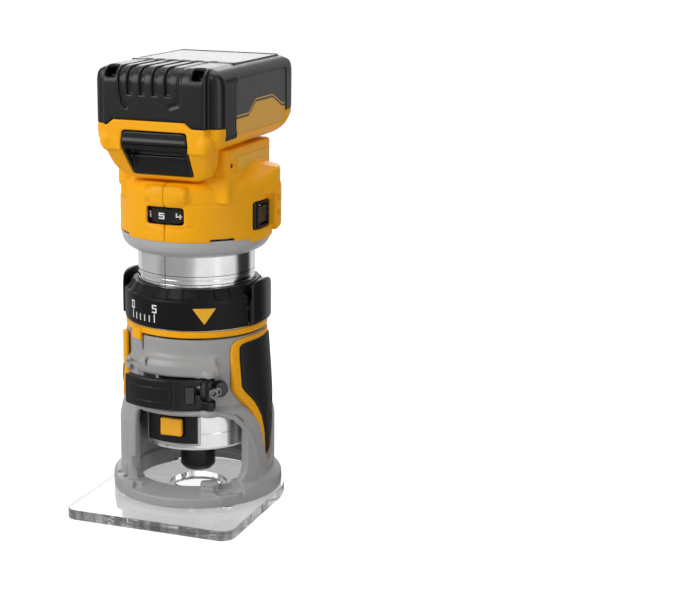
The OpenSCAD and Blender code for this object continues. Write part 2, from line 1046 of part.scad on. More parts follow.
module pack_shell() {
    difference() {
        pack_outline(0);
        difference() {
            pack_outline(wall);
            // Floor over the rails
            translate([-slot_half_w - wall, -33.4, 214])
                cube([2 * (slot_half_w + wall), 100, slot_high + wall - 214]);
        }
        // Slot that the rails of the tool slide in, open to the rear
        translate([-slot_half_w, -31, 210])
            cube([2 * slot_half_w, 100, slot_high - 210]);
        pocket_prism(0, 14.2);
    }
}

module pack_top_shell() {
    color(soft_black)
        difference() {
            union() {
                intersection() {
                    pack_shell();
                    translate([-60, -70, pack_joint])
                        cube([120, 140, 60]);
                }
                pack_screw_places()
                    translate([0, 0, -14])
                        cylinder(r = 3.2, h = 14);
            }
            // Grooves down the front
            difference() {
                for (x = groove_xs)
                    translate([x - 1, -60, 244])
                        cube([2, 14, 20]);
                pack_outline(1.2);
            }
            pack_screw_places() {
                translate([0, 0, -3])
                    cylinder(r = 2.4, h = 15);
                translate([0, 0, -9])
                    cylinder(r = 1.4, h = 10);
            }
            translate([-31, -13, pack_top - 0.8])
                cube([62, 62, 2]);
        }
}

module pack_bottom_shell() {
    color(trim_yellow)
        intersection() {
            pack_shell();
            translate([-60, -70, 190])
                cube([120, 140, pack_joint - 190]);
        }
}

module pack_screw_places() {
    for (x = [-26.5, 26.5], y = [-49, 47.5])
        translate([x, y, pack_top - 5])
            children();
}

module pack_screws() {
    color(steel)
        pack_screw_places()
            translate([0, 0, -3])
                screw(2.2, 2, 1.4, 5.5);
}

module pack_top_label() {
    color([0.78, 0.78, 0.78])
        translate([-31, -13, pack_top - 0.8])
            cube([62, 62, 0.8]);
}

module pack_side_label_right() {
    color([0.35, 0.36, 0.38])
        translate([pack_half_w, -26, 224.5])
            cube([0.4, 70, 30]);
}

module pack_side_label_left() mirror([1, 0, 0]) pack_side_label_right();

module battery_cells() {
    color([0.2, 0.45, 0.65])
        cell_places()
            cylinder(r = cell_r, h = 2 * cell_half_l);
}

module cell_places() {
    for (i = [-2:2], z = cell_rows)
        translate([-cell_half_l, cell_pitch * i, z])
            rotate([0, 90, 0])
                children();
}

module cell_holder() {
    color(soft_black)
        difference() {
            for (x = [-21, 18])
                translate([x, -44.4, 226.4])
                    cube([3, 88.8, 32]);
            cell_places()
                cylinder(r = cell_r, h = 2 * cell_half_l);
        }
}

module pack_terminals() {
    color([0.75, 0.6, 0.3])
        for (x = [-9, -3, 3, 9])
            translate([x - 0.4, -16, neck_high + 0.6])
                cube([0.8, 20, slot_high - neck_high - 0.6]);
}

module release_pocket() {
    color(soft_black)
        difference() {
            intersection() {
                pack_nose(0.8);
                pocket_prism(0, 14.2);
            }
            // Finger scoop under the button
            difference() {
                pocket_prism(1.8, 12.6);
                translate([-30, -60, button_low - 1.6])
                    cube([60, 20, 20]);
            }
            // Recess of the button
            translate([-17.4, -60, button_low - 0.3])
                cube([34.8, 13.2, 5.6]);
        }
}

module release_button() {
    color([0.16, 0.16, 0.17])
        translate([-17.1, -56.2, button_low])
            cube([34.2, 5.6, 5]);
}

module release_spring() {
    color(steel)
        for (x = [-10, 10])
            translate([x, -50.5, button_low + 2.5])
                rotate([-90, 0, 0])
                    cylinder(r = 1.6, h = 3.6);
}

base_casting();
trim_band();
grip_edging_right();
grip_edging_left();
rubber_grip_right();
rubber_grip_left();
sub_base();
sub_base_screws();
guide_pins();
lever_pivot_pin();
clamp_plunger();
adjusting_screw();
split_clamp_screw();
locking_lever();
lever_insert();
thrust_washer();
depth_ring();
tab_hinge_pins();
tab_springs();
release_tab_right();
release_tab_left();
motor_barrel();
barrel_collar();
vent_ring();
head_shell_left();
head_shell_right();
head_screws();
rating_plate();
terminal_block();
controller_board();
stator();
lower_bearing();
upper_bearing();
lock_housing();
lock_spring();
switch_frame();
switch_body();
power_rocker();
speed_dial();
dial_potentiometer();
spindle_lock_button();
spindle_shaft();
rotor_core();
cooling_fan();
lock_disc();
collet();
collet_nut();
pack_top_shell();
pack_bottom_shell();
pack_top_label();
pack_side_label_right();
pack_side_label_left();
pack_screws();
battery_cells();
cell_holder();
pack_terminals();
release_pocket();
release_button();
release_spring();
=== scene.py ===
import json
import math
import bpy
import numpy as np
import openvdb as vdb
from mathutils import Matrix, Vector


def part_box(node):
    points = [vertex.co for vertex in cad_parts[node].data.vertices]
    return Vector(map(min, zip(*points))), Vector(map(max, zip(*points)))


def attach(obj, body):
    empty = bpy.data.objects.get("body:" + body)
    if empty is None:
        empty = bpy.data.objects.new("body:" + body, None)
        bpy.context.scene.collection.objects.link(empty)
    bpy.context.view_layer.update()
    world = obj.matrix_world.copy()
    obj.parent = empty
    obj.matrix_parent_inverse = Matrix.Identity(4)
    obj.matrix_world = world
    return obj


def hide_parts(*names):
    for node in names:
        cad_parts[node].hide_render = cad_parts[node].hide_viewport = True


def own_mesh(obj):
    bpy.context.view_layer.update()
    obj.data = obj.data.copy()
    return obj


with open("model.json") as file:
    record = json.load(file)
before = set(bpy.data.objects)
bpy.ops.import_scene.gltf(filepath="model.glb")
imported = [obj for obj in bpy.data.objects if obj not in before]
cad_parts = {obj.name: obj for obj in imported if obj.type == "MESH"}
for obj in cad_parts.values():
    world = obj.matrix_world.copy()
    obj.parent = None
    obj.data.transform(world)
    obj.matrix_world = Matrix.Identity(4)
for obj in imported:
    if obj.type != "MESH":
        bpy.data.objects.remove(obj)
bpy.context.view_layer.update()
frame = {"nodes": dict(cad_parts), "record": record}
NODES = frame["nodes"]
MM = 0.001


# ---------------------------------------------------------------- camera
def make_camera():
    cam = bpy.data.cameras.new("camera")
    cam.lens = 84.56
    cam.sensor_width = 36.0
    cam.clip_start, cam.clip_end = 0.05, 20.0
    obj = bpy.data.objects.new("camera", cam)
    right = Vector((0.94472, 0.32751, 0.01526))
    up = Vector((-0.09121, 0.21784, 0.97171))
    back = Vector((0.31492, -0.91939, 0.23567))
    m = Matrix((right, up, back)).transposed().to_4x4()
    m.translation = Vector((0.39423, -0.87052, 0.35115))
    obj.matrix_world = m
    bpy.context.scene.collection.objects.link(obj)
    bpy.context.scene.camera = obj


make_camera()


# ---------------------------------------------------------------- materials
class Mat:
    """A procedural material: base colour with mottling, roughness variation and fine bump."""

    def __init__(self, name, color, rough, metal=0.0, **socket):
        self.m = bpy.data.materials.new(name)
        self.m.use_nodes = True
        self.t = self.m.node_tree
        self.bsdf = self.t.nodes["Principled BSDF"]
        self.coord = self.t.nodes.new("ShaderNodeTexCoord").outputs["Object"]
        self.color, self.rough = color, rough
        self.bsdf.inputs["Base Color"].default_value = (*color, 1)
        self.bsdf.inputs["Roughness"].default_value = rough
        self.bsdf.inputs["Metallic"].default_value = metal
        for k, v in socket.items():
            self.bsdf.inputs[k.replace("_", " ")].default_value = v

    def node(self, kind, **values):
        n = self.t.nodes.new(kind)
        for k, v in values.items():
            if k in n.inputs:
                n.inputs[k].default_value = v
            else:
                setattr(n, k, v)
        return n

    def link(self, a, b):
        self.t.links.new(a, b)
        return self

    def mapped(self, scale):
        n = self.node("ShaderNodeMapping")
        n.inputs["Scale"].default_value = scale if isinstance(scale, tuple) else (scale,) * 3
        self.link(self.coord, n.inputs["Vector"])
        return n.outputs["Vector"]

    def noise(self, scale, detail=3.0, rough=0.55, vector=None):
        n = self.node("ShaderNodeTexNoise", Scale=1.0, Detail=detail, Roughness=rough)
        self.link(vector or self.mapped(scale), n.inputs["Vector"])
        return n.outputs["Fac"]

    def ramp(self, fac, stops):
        n = self.node("ShaderNodeValToRGB")
        e = n.color_ramp.elements
        while len(e) < len(stops):
            e.new(0.5)
        for el, (p, c) in zip(e, stops):
            el.position = p
            el.color = (c, c, c, 1) if not isinstance(c, tuple) else (*c, 1)
        self.link(fac, n.inputs["Fac"])
        return n.outputs["Color"]

    def tint(self, fac, amount):
        """colour varies by +-amount with fac"""
        lo = tuple(max(0.0, c * (1 - amount)) for c in self.color)
        hi = tuple(min(1.0, c * (1 + amount)) for c in self.color)
        self.link(self.ramp(fac, [(0.3, lo), (0.7, hi)]), self.bsdf.inputs["Base Color"])
        return self

    def roughen(self, fac, amount):
        lo, hi = max(0.02, self.rough - amount), min(1, self.rough + amount)
        self.link(self.ramp(fac, [(0.25, lo), (0.75, hi)]), self.bsdf.inputs["Roughness"])
        return self

    def bump(self, height, strength, distance, normal=None):
        n = self.node("ShaderNodeBump", Strength=strength, Distance=distance * MM)
        self.link(height, n.inputs["Height"])
        if normal is None and self.bsdf.inputs["Normal"].is_linked:
            normal = self.bsdf.inputs["Normal"].links[0].from_socket
        if normal is not None:
            self.link(normal, n.inputs["Normal"])
        self.link(n.outputs["Normal"], self.bsdf.inputs["Normal"])
        return self

    def math(self, op, a, b=0.0):
        """maths on two values, each a float or a socket"""
        n = self.node("ShaderNodeMath", operation=op)
        for i, v in enumerate((a, b)):
            if isinstance(v, float):
                n.inputs[i].default_value = v
            else:
                self.link(v, n.inputs[i])
        return n.outputs[0]

    def axes(self, vector=None):
        """X, Y and Z of a vector, or of the place on the object in metres"""
        n = self.node("ShaderNodeSeparateXYZ")
        self.link(vector or self.coord, n.inputs[0])
        return n.outputs["X"], n.outputs["Y"], n.outputs["Z"]

    def paint(self, color, factor):
        """lays a flat colour over the base colour where factor is 1"""
        n = self.node("ShaderNodeMix", data_type="RGBA")
        self.link(self.bsdf.inputs["Base Color"].links[0].from_socket, n.inputs["A"])
        n.inputs["B"].default_value = (*color, 1)
        self.link(factor, n.inputs["Factor"])
        self.link(n.outputs["Result"], self.bsdf.inputs["Base Color"])

    def soft_edges(self, radius):
        n = self.node("ShaderNodeBevel", Radius=radius * MM, samples=4)
        self.link(n.outputs["Normal"], self.bsdf.inputs["Normal"])
        return self


def plastic(name, color, rough, grain=1500.0, depth=0.02, edge=0.0, mottle=0.04, **kw):
    m = Mat(name, color, rough, **kw)
    if edge:
        m.soft_edges(edge)
    m.tint(m.noise(60.0, 4), mottle).roughen(m.noise(350.0, 4), 0.05)
    return m.bump(m.noise(grain, 2, 0.6), 0.35, depth)


def metal(name, color, rough, stretch=(40.0, 40.0, 1800.0), depth=0.01, edge=0.0, spread=0.06, **kw):
    m = Mat(name, color, rough, 1.0, **kw)
    if edge:
        m.soft_edges(edge)
    line = m.noise(stretch, 3, 0.6)
    m.tint(m.noise(90.0, 3), 0.06).roughen(line, spread)
    return m.bump(line, 0.25, depth)


M = {}
CAD_EDGE = 0.35   # mm, shading radius on the edges of plain CAD nodes, whose materials end in _e
for soft, e in (("", 0.0), ("_e", CAD_EDGE)):
    M["casting_grey" + soft] = plastic("casting_grey" + soft, (0.37, 0.365, 0.36), 0.40, 1100, 0.05, e, 0.03)
    M["shell_yellow" + soft] = plastic("shell_yellow" + soft, (0.98, 0.435, 0.004), 0.42, 1700, 0.03, e, 0.02,
                                       Specular_IOR_Level=0.2)
    M["shell_black" + soft] = plastic("shell_black" + soft, (0.007, 0.007, 0.0075), 0.34, 1700, 0.03, e, 0.1,
                                      Specular_IOR_Level=0.36)
    M["grip_rubber" + soft] = plastic("grip_rubber" + soft, (0.007, 0.007, 0.0078), 0.55, 1300, 0.06, e, 0.1,
                                      Specular_IOR_Level=0.28)
    M["steel" + soft] = metal("steel" + soft, (0.62, 0.62, 0.60), 0.28, edge=e)
    M["dark_steel" + soft] = metal("dark_steel" + soft, (0.06, 0.06, 0.062), 0.38, edge=e)
    M["label_grey" + soft] = plastic("label_grey" + soft, (0.30, 0.30, 0.30), 0.5, 900, 0.01, 0, 0.03)
    M["label_dark" + soft] = plastic("label_dark" + soft, (0.035, 0.035, 0.037), 0.45, 900, 0.01, 0, 0.05)


def barrel_metal():
    """bright turned aluminium with its vertical joint and two turned lines"""
    m = metal("barrel_aluminium", (0.90, 0.90, 0.905), 0.16, (25.0, 25.0, 3000.0), 0.005, 0.3, 0.05)
    x, y, z = m.axes()

    def near(value, at, half):
        return m.math("LESS_THAN", m.math("ABSOLUTE", m.math("SUBTRACT", value, at)), half)

    seam = m.math("MULTIPLY", near(x, -0.0045, 0.00022), m.math("LESS_THAN", y, -0.03))
    lines = m.math("MAXIMUM", near(z, 0.1407, 0.00018), near(z, 0.1358, 0.00022))
    m.paint((0.12, 0.12, 0.12), m.math("MAXIMUM", seam, lines))
    return m


M["barrel_aluminium"] = barrel_metal()
M["insert_grey"] = plastic("insert_grey", (0.030, 0.031, 0.032), 0.45, 1500, 0.02, 0.3)
M["button_yellow"] = plastic("button_yellow", (0.96, 0.44, 0.010), 0.38, 1500, 0.02, 0.3)
M["ring_black"] = plastic("ring_black", (0.006, 0.006, 0.0065), 0.42, 1700, 0.03, 0, 0.1,
                          Specular_IOR_Level=0.16)
M["screw_grey"] = metal("screw_grey", (0.20, 0.20, 0.20), 0.30)
M["collar_grey"] = plastic("collar_grey", (0.46, 0.455, 0.455), 0.30, 900, 0.02)
M["dial_white"] = plastic("dial_white", (0.85, 0.85, 0.84), 0.45, 1500, 0.01)
M["mark_yellow"] = plastic("mark_yellow", (0.93, 0.47, 0.015), 0.45, 1500, 0.01)
M["switch_rubber"] = plastic("switch_rubber", (0.018, 0.018, 0.02), 0.35, 1500, 0.02, 0.2)
M["plate_yellow"] = plastic("plate_yellow", (0.85, 0.48, 0.03), 0.45, 1500, 0.01)
M["copper"] = metal("copper", (0.72, 0.32, 0.15), 0.35, (300.0, 300.0, 3500.0), 0.05)
M["board_green"] = plastic("board_green", (0.01, 0.10, 0.035), 0.45, 700, 0.01)
M["cell_wrap"] = plastic("cell_wrap", (0.03, 0.12, 0.30), 0.35, 500, 0.01)
M["contact_brass"] = metal("contact_brass", (0.75, 0.52, 0.22), 0.3)


def acrylic():
    """clear sheet whose upright edges carry painted light and dark stripes, a painted reflection of bright and dark
    things around it
    """
    clear = (0.95, 0.96, 0.96)
    m = Mat("clear_acrylic", clear, 0.02, IOR=1.49, Transmission_Weight=1.0)
    m.soft_edges(0.25)
    m.roughen(m.noise(120.0, 4), 0.015)
    geo = m.node("ShaderNodeNewGeometry")
    z = m.axes(geo.outputs["True Normal"])[2]
    upright = m.math("LESS_THAN", m.math("ABSOLUTE", z), 0.5)
    # painted reflection: light and dark stripes in the base colour of the upright edges
    painted_reflection_streaks = m.ramp(m.noise((130.0, 130.0, 6.0), 3), [(0.40, (0.22, 0.23, 0.23)), (0.56, (0.86, 0.87, 0.87))])
    mix = m.node("ShaderNodeMix", data_type="RGBA")
    mix.inputs["A"].default_value = (*clear, 1)
    m.link(painted_reflection_streaks, mix.inputs["B"])
    m.link(upright, mix.inputs["Factor"])
    m.link(mix.outputs["Result"], m.bsdf.inputs["Base Color"])
    return m.bump(m.noise((60.0, 60.0, 60.0), 4), 0.15, 0.01)


M["clear_acrylic"] = acrylic()


def stepped_label():
    """dark grey foil over a yellow band whose upper edge steps up in the middle, with a thin line above it"""
    m = plastic("side_label", (0.035, 0.035, 0.037), 0.42, 900, 0.01, 0, 0.03)
    _, y, z = m.axes()
    front = m.math("MULTIPLY", m.math("ADD", y, 0.012), 0.62)
    rear = m.math("MULTIPLY", m.math("SUBTRACT", 0.040, y), 0.45)
    rise = m.math("MINIMUM", m.math("MAXIMUM", m.math("MINIMUM", front, rear), 0.0), 0.0068)
    edge = m.math("ADD", rise, 0.2325)
    off_line = m.math("ABSOLUTE", m.math("SUBTRACT", z, m.math("ADD", edge, 0.0016)))
    m.paint((0.80, 0.40, 0.02), m.math("MAXIMUM", m.math("LESS_THAN", z, edge), m.math("LESS_THAN", off_line, 0.00035)))
    return m


def framed_panel():
    """black panel with a bright machined frame along its right and lower edges"""
    m = plastic("lock_panel", (0.007, 0.007, 0.0075), 0.36, 1700, 0.03, 0, 0.1, Specular_IOR_Level=0.36)
    x, _, z = m.axes()
    bright = m.math("MAXIMUM", m.math("GREATER_THAN", x, 0.0149), m.math("LESS_THAN", z, 0.0409))
    m.paint((0.55, 0.55, 0.55), bright)
    m.link(bright, m.bsdf.inputs["Metallic"])
    return m


M["lock_panel"] = framed_panel()
M["side_label"] = stepped_label()
M["top_label"] = plastic("top_label", (0.30, 0.30, 0.30), 0.40, 900, 0.01, 0, 0.03)
# each node's slot name, as the CAD gives it; the CAD's placeholder materials are swapped for the ones above
SLOT = {}
for node, obj in NODES.items():
    for entry in obj.material_slots:
        name = entry.material.name.split(".")[0] if entry.material else ""
        if name in M:
            SLOT[node] = name
            entry.material = M[name + "_e" if name + "_e" in M else name].m


# ---------------------------------------------------------------- shapes from signed distance fields
def smin(a, b, k):
    h = np.maximum(k - np.abs(a - b), 0) / k
    return np.minimum(a, b) - h * h * k / 4


def smax(a, b, k):
    return -smin(-a, -b, k)


def in_scene(name, mesh):
    o = bpy.data.objects.new(name, mesh)
    bpy.context.scene.collection.objects.link(o)
    return o


class Field:
    """Signed distance grid in mm, started from the CAD nodes, edited with smooth joins and cuts, then meshed."""

    def __init__(self, nodes, h, pad=3.0):
        self.h = h
        lo = np.min([np.array(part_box(n)[0]) for n in nodes], 0) / MM - pad
        hi = np.max([np.array(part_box(n)[1]) for n in nodes], 0) / MM + pad
        self.ijk = np.floor(lo / h).astype(int)
        shape = (np.ceil(hi / h).astype(int) - self.ijk + 1)
        self.A = np.full(shape, 9.0, np.float32)
        for n in nodes:
            self.A = np.minimum(self.A, self.sample(n, shape))
        ax = [(self.ijk[i] + np.arange(shape[i])).astype(np.float32) * h for i in range(3)]
        self.x, self.y, self.z = ax[0][:, None, None], ax[1][None, :, None], ax[2][None, None, :]

    def sample(self, node, shape):
        me = NODES[node].data
        co = np.empty(len(me.vertices) * 3, np.float32)
        me.vertices.foreach_get("co", co)
        me.calc_loop_triangles()
        tri = np.empty(len(me.loop_triangles) * 3, np.int32)
        me.loop_triangles.foreach_get("vertices", tri)
        g = vdb.FloatGrid.createLevelSetFromPolygons(
            co.reshape(-1, 3) / MM, triangles=tri.reshape(-1, 3).astype(np.uint32),
            transform=vdb.createLinearTransform(voxelSize=self.h), halfWidth=5.0)
        out = np.empty(shape, np.float32)
        g.copyToArray(out, ijk=tuple(int(v) for v in self.ijk))
        return out

    def copy(self):
        other = object.__new__(Field)
        other.__dict__.update(self.__dict__)
        other.A = self.A.copy()
        return other

    def blurred(self, sigma):
        s = sigma / self.h
        n = max(1, int(math.ceil(2.5 * s)))
        w = np.exp(-0.5 * (np.arange(-n, n + 1) / s) ** 2)
        w /= w.sum()
        a = self.A
        for axis in range(3):
            b = np.zeros_like(a)
            p = np.pad(a, [(n, n) if i == axis else (0, 0) for i in range(3)], mode="edge")
            for j, wj in enumerate(w):
                part = [slice(None)] * 3
                part[axis] = slice(j, j + a.shape[axis])
                b += np.float32(wj) * p[tuple(part)]
            a = b
        return a

    def soften(self, sigma, mask=None):
        b = self.blurred(sigma)
        self.A = b if mask is None else self.A + (b - self.A) * mask.astype(np.float32)
        return self

    def add(self, d, k=0.4):
        self.A = smin(self.A, d, k).astype(np.float32)
        return self

    def cut(self, d, k=0.4):
        self.A = smax(self.A, -d, k).astype(np.float32)
        return self

    def keep(self, d, k=0.4):
        self.A = smax(self.A, d, k).astype(np.float32)
        return self

    def at(self, P, A):
        q = P / self.h - self.ijk
        i = np.clip(np.floor(q).astype(int), 0, np.array(A.shape) - 2)
        f = (q - i).astype(np.float32)
        out = 0
        for dx in (0, 1):
            for dy in (0, 1):
                for dz in (0, 1):
                    w = ((f[:, 0] if dx else 1 - f[:, 0]) * (f[:, 1] if dy else 1 - f[:, 1])
                         * (f[:, 2] if dz else 1 - f[:, 2]))
                    out = out + w * A[i[:, 0] + dx, i[:, 1] + dy, i[:, 2] + dz]
        return out

    def mesh(self, name, adapt=0.0):
        g = vdb.FloatGrid(5.0)
        g.copyFromArray(self.A, ijk=tuple(int(v) for v in self.ijk))
        g.transform = vdb.createLinearTransform(voxelSize=self.h)
        out = g.convertToPolygons(0.0, adapt) if adapt else g.convertToQuads(0.0)
        P = out[0].astype(np.float64)
        tris = out[1] if adapt else np.zeros((0, 3), int)
        quads = out[2] if adapt else out[1]
        # two Newton steps bring the vertices onto the surface
        e = 0.5 * self.h
        for _ in range(2):
            d = self.at(P, self.A)
            G = np.stack([self.at(P + v, self.A) - self.at(P - v, self.A) for v in np.eye(3) * e], 1) / (2 * e)
            step = G * (d / np.maximum((G ** 2).sum(1), 0.2))[:, None]
            n = np.linalg.norm(step, axis=1)
            step *= np.minimum(1, 0.4 * self.h / np.maximum(n, 1e-9))[:, None]
            P = P - step
        me = bpy.data.meshes.new(name)
        quads = quads[:, ::-1]
        tris = tris[:, ::-1]
        me.vertices.add(len(P))
        me.vertices.foreach_set("co", (P * MM).astype(np.float32).ravel())
        loops = np.concatenate([tris.ravel(), quads.ravel()]).astype(np.int32)
        me.loops.add(len(loops))
        me.loops.foreach_set("vertex_index", loops)
        sizes = np.concatenate([np.full(len(tris), 3), np.full(len(quads), 4)]).astype(np.int32)
        me.polygons.add(len(sizes))
        me.polygons.foreach_set("loop_start", np.concatenate([[0], np.cumsum(sizes)[:-1]]).astype(np.int32))
        me.update(calc_edges=True)
        me.validate()
        me.shade_smooth()
        return in_scene(name, me)


BODY = {n: b for b, ns in frame["record"]["behaviour"]["bodies"].items() for n in ns}


def place(obj, nodes, material=None, slot=None):
    """Puts a finished piece in the scene in place of its CAD nodes."""
    slot = slot or SLOT[nodes[0]]
    obj.data.materials.append((material or M[slot]).m)
    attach(obj, BODY[nodes[0]])
    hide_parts(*nodes)
    return obj


def softened(node, h, sigma, material=None):
    """A CAD node with its edges rounded by about sigma mm."""
    return place(Field([node], h).soften(sigma).mesh(node + "_finished"), [node], material)


# ---------------------------------------------------------------- helpers for shapes
def rect2(u, v, u0, u1, v0, v1, r):
    """2-D rounded rectangle"""
    a = np.abs(u - (u0 + u1) / 2) - (u1 - u0) / 2 + r
    b = np.abs(v - (v0 + v1) / 2) - (v1 - v0) / 2 + r
    return np.hypot(np.maximum(a, 0), np.maximum(b, 0)) + np.minimum(np.maximum(a, b), 0) - r


def box3(x, y, z, lo, hi, r):
    q = [np.abs(p - (l + h) / 2) - (h - l) / 2 + r for p, l, h in zip((x, y, z), lo, hi)]
    out = np.sqrt(np.maximum(q[0], 0) ** 2 + np.maximum(q[1], 0) ** 2 + np.maximum(q[2], 0) ** 2)
    return out + np.minimum(np.maximum(np.maximum(q[0], q[1]), q[2]), 0) - r


def path2(u, v, pts, r):
    """2-D stroke of half width r along a polyline"""
    d = None
    for (u0, v0), (u1, v1) in zip(pts[:-1], pts[1:]):
        du, dv = u1 - u0, v1 - v0
        t = np.clip(((u - u0) * du + (v - v0) * dv) / (du * du + dv * dv), 0, 1)
        e = np.hypot(u - u0 - t * du, v - v0 - t * dv)
        d = e if d is None else np.minimum(d, e)
    return d - r


def ramp01(v, lo, hi):
    """0 below lo, 1 above hi, and straight between them"""
    return np.clip((v - lo) / (hi - lo), 0, 1)


def profile(z, heights, widths):
    """half width at each height of a field"""
    return np.interp(z.ravel(), heights, widths).astype(np.float32)[None, None, :]


def spot(angle, radius):
    """x and y at an angle in degrees from -Y towards +X"""
    return radius * math.sin(math.radians(angle)), -radius * math.cos(math.radians(angle))


# ---------------------------------------------------------------- battery
# outline of the finished pack, in mm
PACK_HALF, PACK_REAR, PACK_TOP = 39.1, 59.3, 262.2
PROUD_FRONT, PROUD_HALF = -56.8, 31.0   # the field on the front that stands proud


def battery():
    f = Field(["pack_top_shell", "pack_bottom_shell"], 0.5)
    x, y, z = f.x, f.y, f.z
    # rounded body: side view, front view and plan crossed
    side = smax(rect2(y, z, -53.5, PACK_REAR, 215.8, PACK_TOP, 9.5), (y - 46) * 0.62 + (220.5 - z) * 0.785, 5)
    front = rect2(x, z, -PACK_HALF, PACK_HALF, 215.8, PACK_TOP, 11.0)
    plan = rect2(x, y, -PACK_HALF, PACK_HALF, -52.6, PACK_REAR, 7.5)
    out = smax(smax(side, front, 2), plan, 2)
    # the field on the front stands proud from the nose to the top edge
    proud = smax(smax(rect2(y, z, PROUD_FRONT, 0, 190, 262.0, 9.5), np.abs(x) - PROUD_HALF, 2.0), 215 - z, 2)
    # nose that carries the release
    half = profile(z, [190, 197.2, 201, 206, 212, 300], [15, 20, 27, 30, PROUD_HALF, PROUD_HALF])
    slope = -(y + 56.8) * 0.80 + (217.5 - z) * 0.60
    nose = smax(smax(rect2(y, z, PROUD_FRONT, -35.8, 197.2, 300, 2.5), slope, 4), (np.abs(x) - half) * 0.95, 3.5)
    nose = smax(nose, z - 236, 0.1)
    out = smin(out, np.minimum(proud, nose), 0.7)
    # round bumps where the proud field meets the yellow shell
    for sgn in (1, -1):
        out = smin(out, np.sqrt((x - sgn * 29.6) ** 2 + (y + 53.0) ** 2 + ((z - 220.6) * 0.75) ** 2) - 4.6, 1.2)
    # hollow inside, slot for the rails, pocket for the release
    room = smax(out + 2.4, -smax(smax(np.abs(x) - 23.4, z - 225.4, 0.1), -33.4 - y, 0.1), 0.1)
    f.A = smax(out, -room, 0.4).astype(np.float32)
    f.cut(smax(smax(np.abs(x) - 21, z - 223, 0.3), -31 - y, 0.3), 0.4)
    pocket = profile(z, [199, 200.5, 219, 226.5, 228], [18.2, 18.6, 20.4, 19.6, 19.4])
    f.cut(smax(smax(smax(np.abs(x) - pocket, z - 226.9, 2.0), 200.3 - z, 2.0), y + 42.6, 0.4), 0.7)
    # grooves over the front edge
    for gx in (-14.4, -6.9, 0.7, 8.3):
        f.cut(smax(smax(np.abs(x - gx) - 1.55, 246.5 - z, 0.3), smax(-(out + 1.9), y + 17.5, 0.6), 0.25), 0.3)
    # J shaped steps either side of them
    for gx, pts in ((-20.4, [(-20.4, 258), (-20.0, 248), (-18.8, 241.8), (-16.4, 239.8)]),
                    (15.9, [(15.9, 258), (15.9, 248), (14.6, 242), (10.0, 240.6)])):
        deep = 1.5 if gx < 0 else 0.6
        f.cut(smax(path2(x, z, pts, 1.0), smax(-(out + deep), y + 30, 0.4), 0.5), 0.5)
        f.cut(smax(smax(np.abs(x - gx) - 1.0, 257 - z, 0.4), smax(-(out + deep), y + 19, 0.4), 0.5), 0.5)
    # screw pockets open to the front
    for px in (-26.4, 25.6):
        f.cut(smax(np.hypot(x - px, y + 50.5) - 3.3, 255.4 - z, 0.8), 0.9)
        f.cut(box3(x, y, z, (px - 3.1, -62, 255.4), (px + 3.1, -50, 262), 1.0), 0.9)
    # slots behind the ribs, and the recess of the top label
    f.add(box3(x, y, z, (-31.8, -18, 259.0), (31.8, 49.5, 262.5), 0.4), 0.4)
    for sx in (-21.9, -14.4, -6.7, 1.0, 9.6, 18.4):
        f.cut(box3(x, y, z, (sx - 2.2, -16.6, 261.0), (sx + 2.2, -14.2, 270), 0.4), 0.5)
    f.cut(box3(x, y, z, (-31, -11.5, 261.5), (31, 48.2, 270), 0.5), 0.4)
    # side panels with their ribs and frames
    for sgn in (1, -1):
        sx = x * sgn
        panel = rect2(y, z, -29, 45.5, 223.2, 255.2, 3.5)
        f.cut(smax(panel, 37.6 - sx, 0.4), 0.5)
        ribs = smax(rect2(y, z, -44.9, -29.3, 222.6, 256, 1.2), 37.7 - sx, 0.3)
        f.cut(smax(ribs, 0.62 - np.abs(((y + 44.6) % 3.0) - 1.5), 0.2), 0.15)
    # parting surface between the black and the yellow shell
    zp = 229.3 + 0 * x + 0 * y
    rise = np.clip(np.minimum(x + 28.5, 22.8 - x) / 4.0, 0, 1)
    zp = zp + 3.2 * rise * (y < -36)
    zp = np.where((np.abs(x) > 34.5) & (y > -45.4) & (y < -28.8), 222.2, zp)
    zp = zp + 1.0 * ramp01(y, 40, 56)
    top = f.copy()
    gap = 0.12
    top.keep(zp - z + gap, 0.3)
    f.keep(z - zp + gap, 0.3)
    place(top.mesh("battery_cover"), ["pack_top_shell"])
    place(f.mesh("battery_base"), ["pack_bottom_shell"])

    lab = Field(["pack_top_label"], 0.5, 6)
    lab.A = box3(lab.x, lab.y, lab.z, (-30.7, -11.2, 261.2), (30.7, 47.9, 262.1), 0.3).astype(np.float32)
    place(lab.mesh("top_label", 0.05), ["pack_top_label"], M["top_label"])
    for side_name, sgn in (("right", 1), ("left", -1)):
        lab = Field([f"pack_side_label_{side_name}"], 0.4, 5)
        panel = rect2(lab.y, lab.z, -28.7, 45.2, 223.5, 254.9, 3.2)
        lab.A = smax(panel, np.abs(lab.x * sgn - 37.6) - 0.4, 0.2).astype(np.float32)
        place(lab.mesh(f"side_label_{side_name}", 0.05), [f"pack_side_label_{side_name}"], M["side_label"])


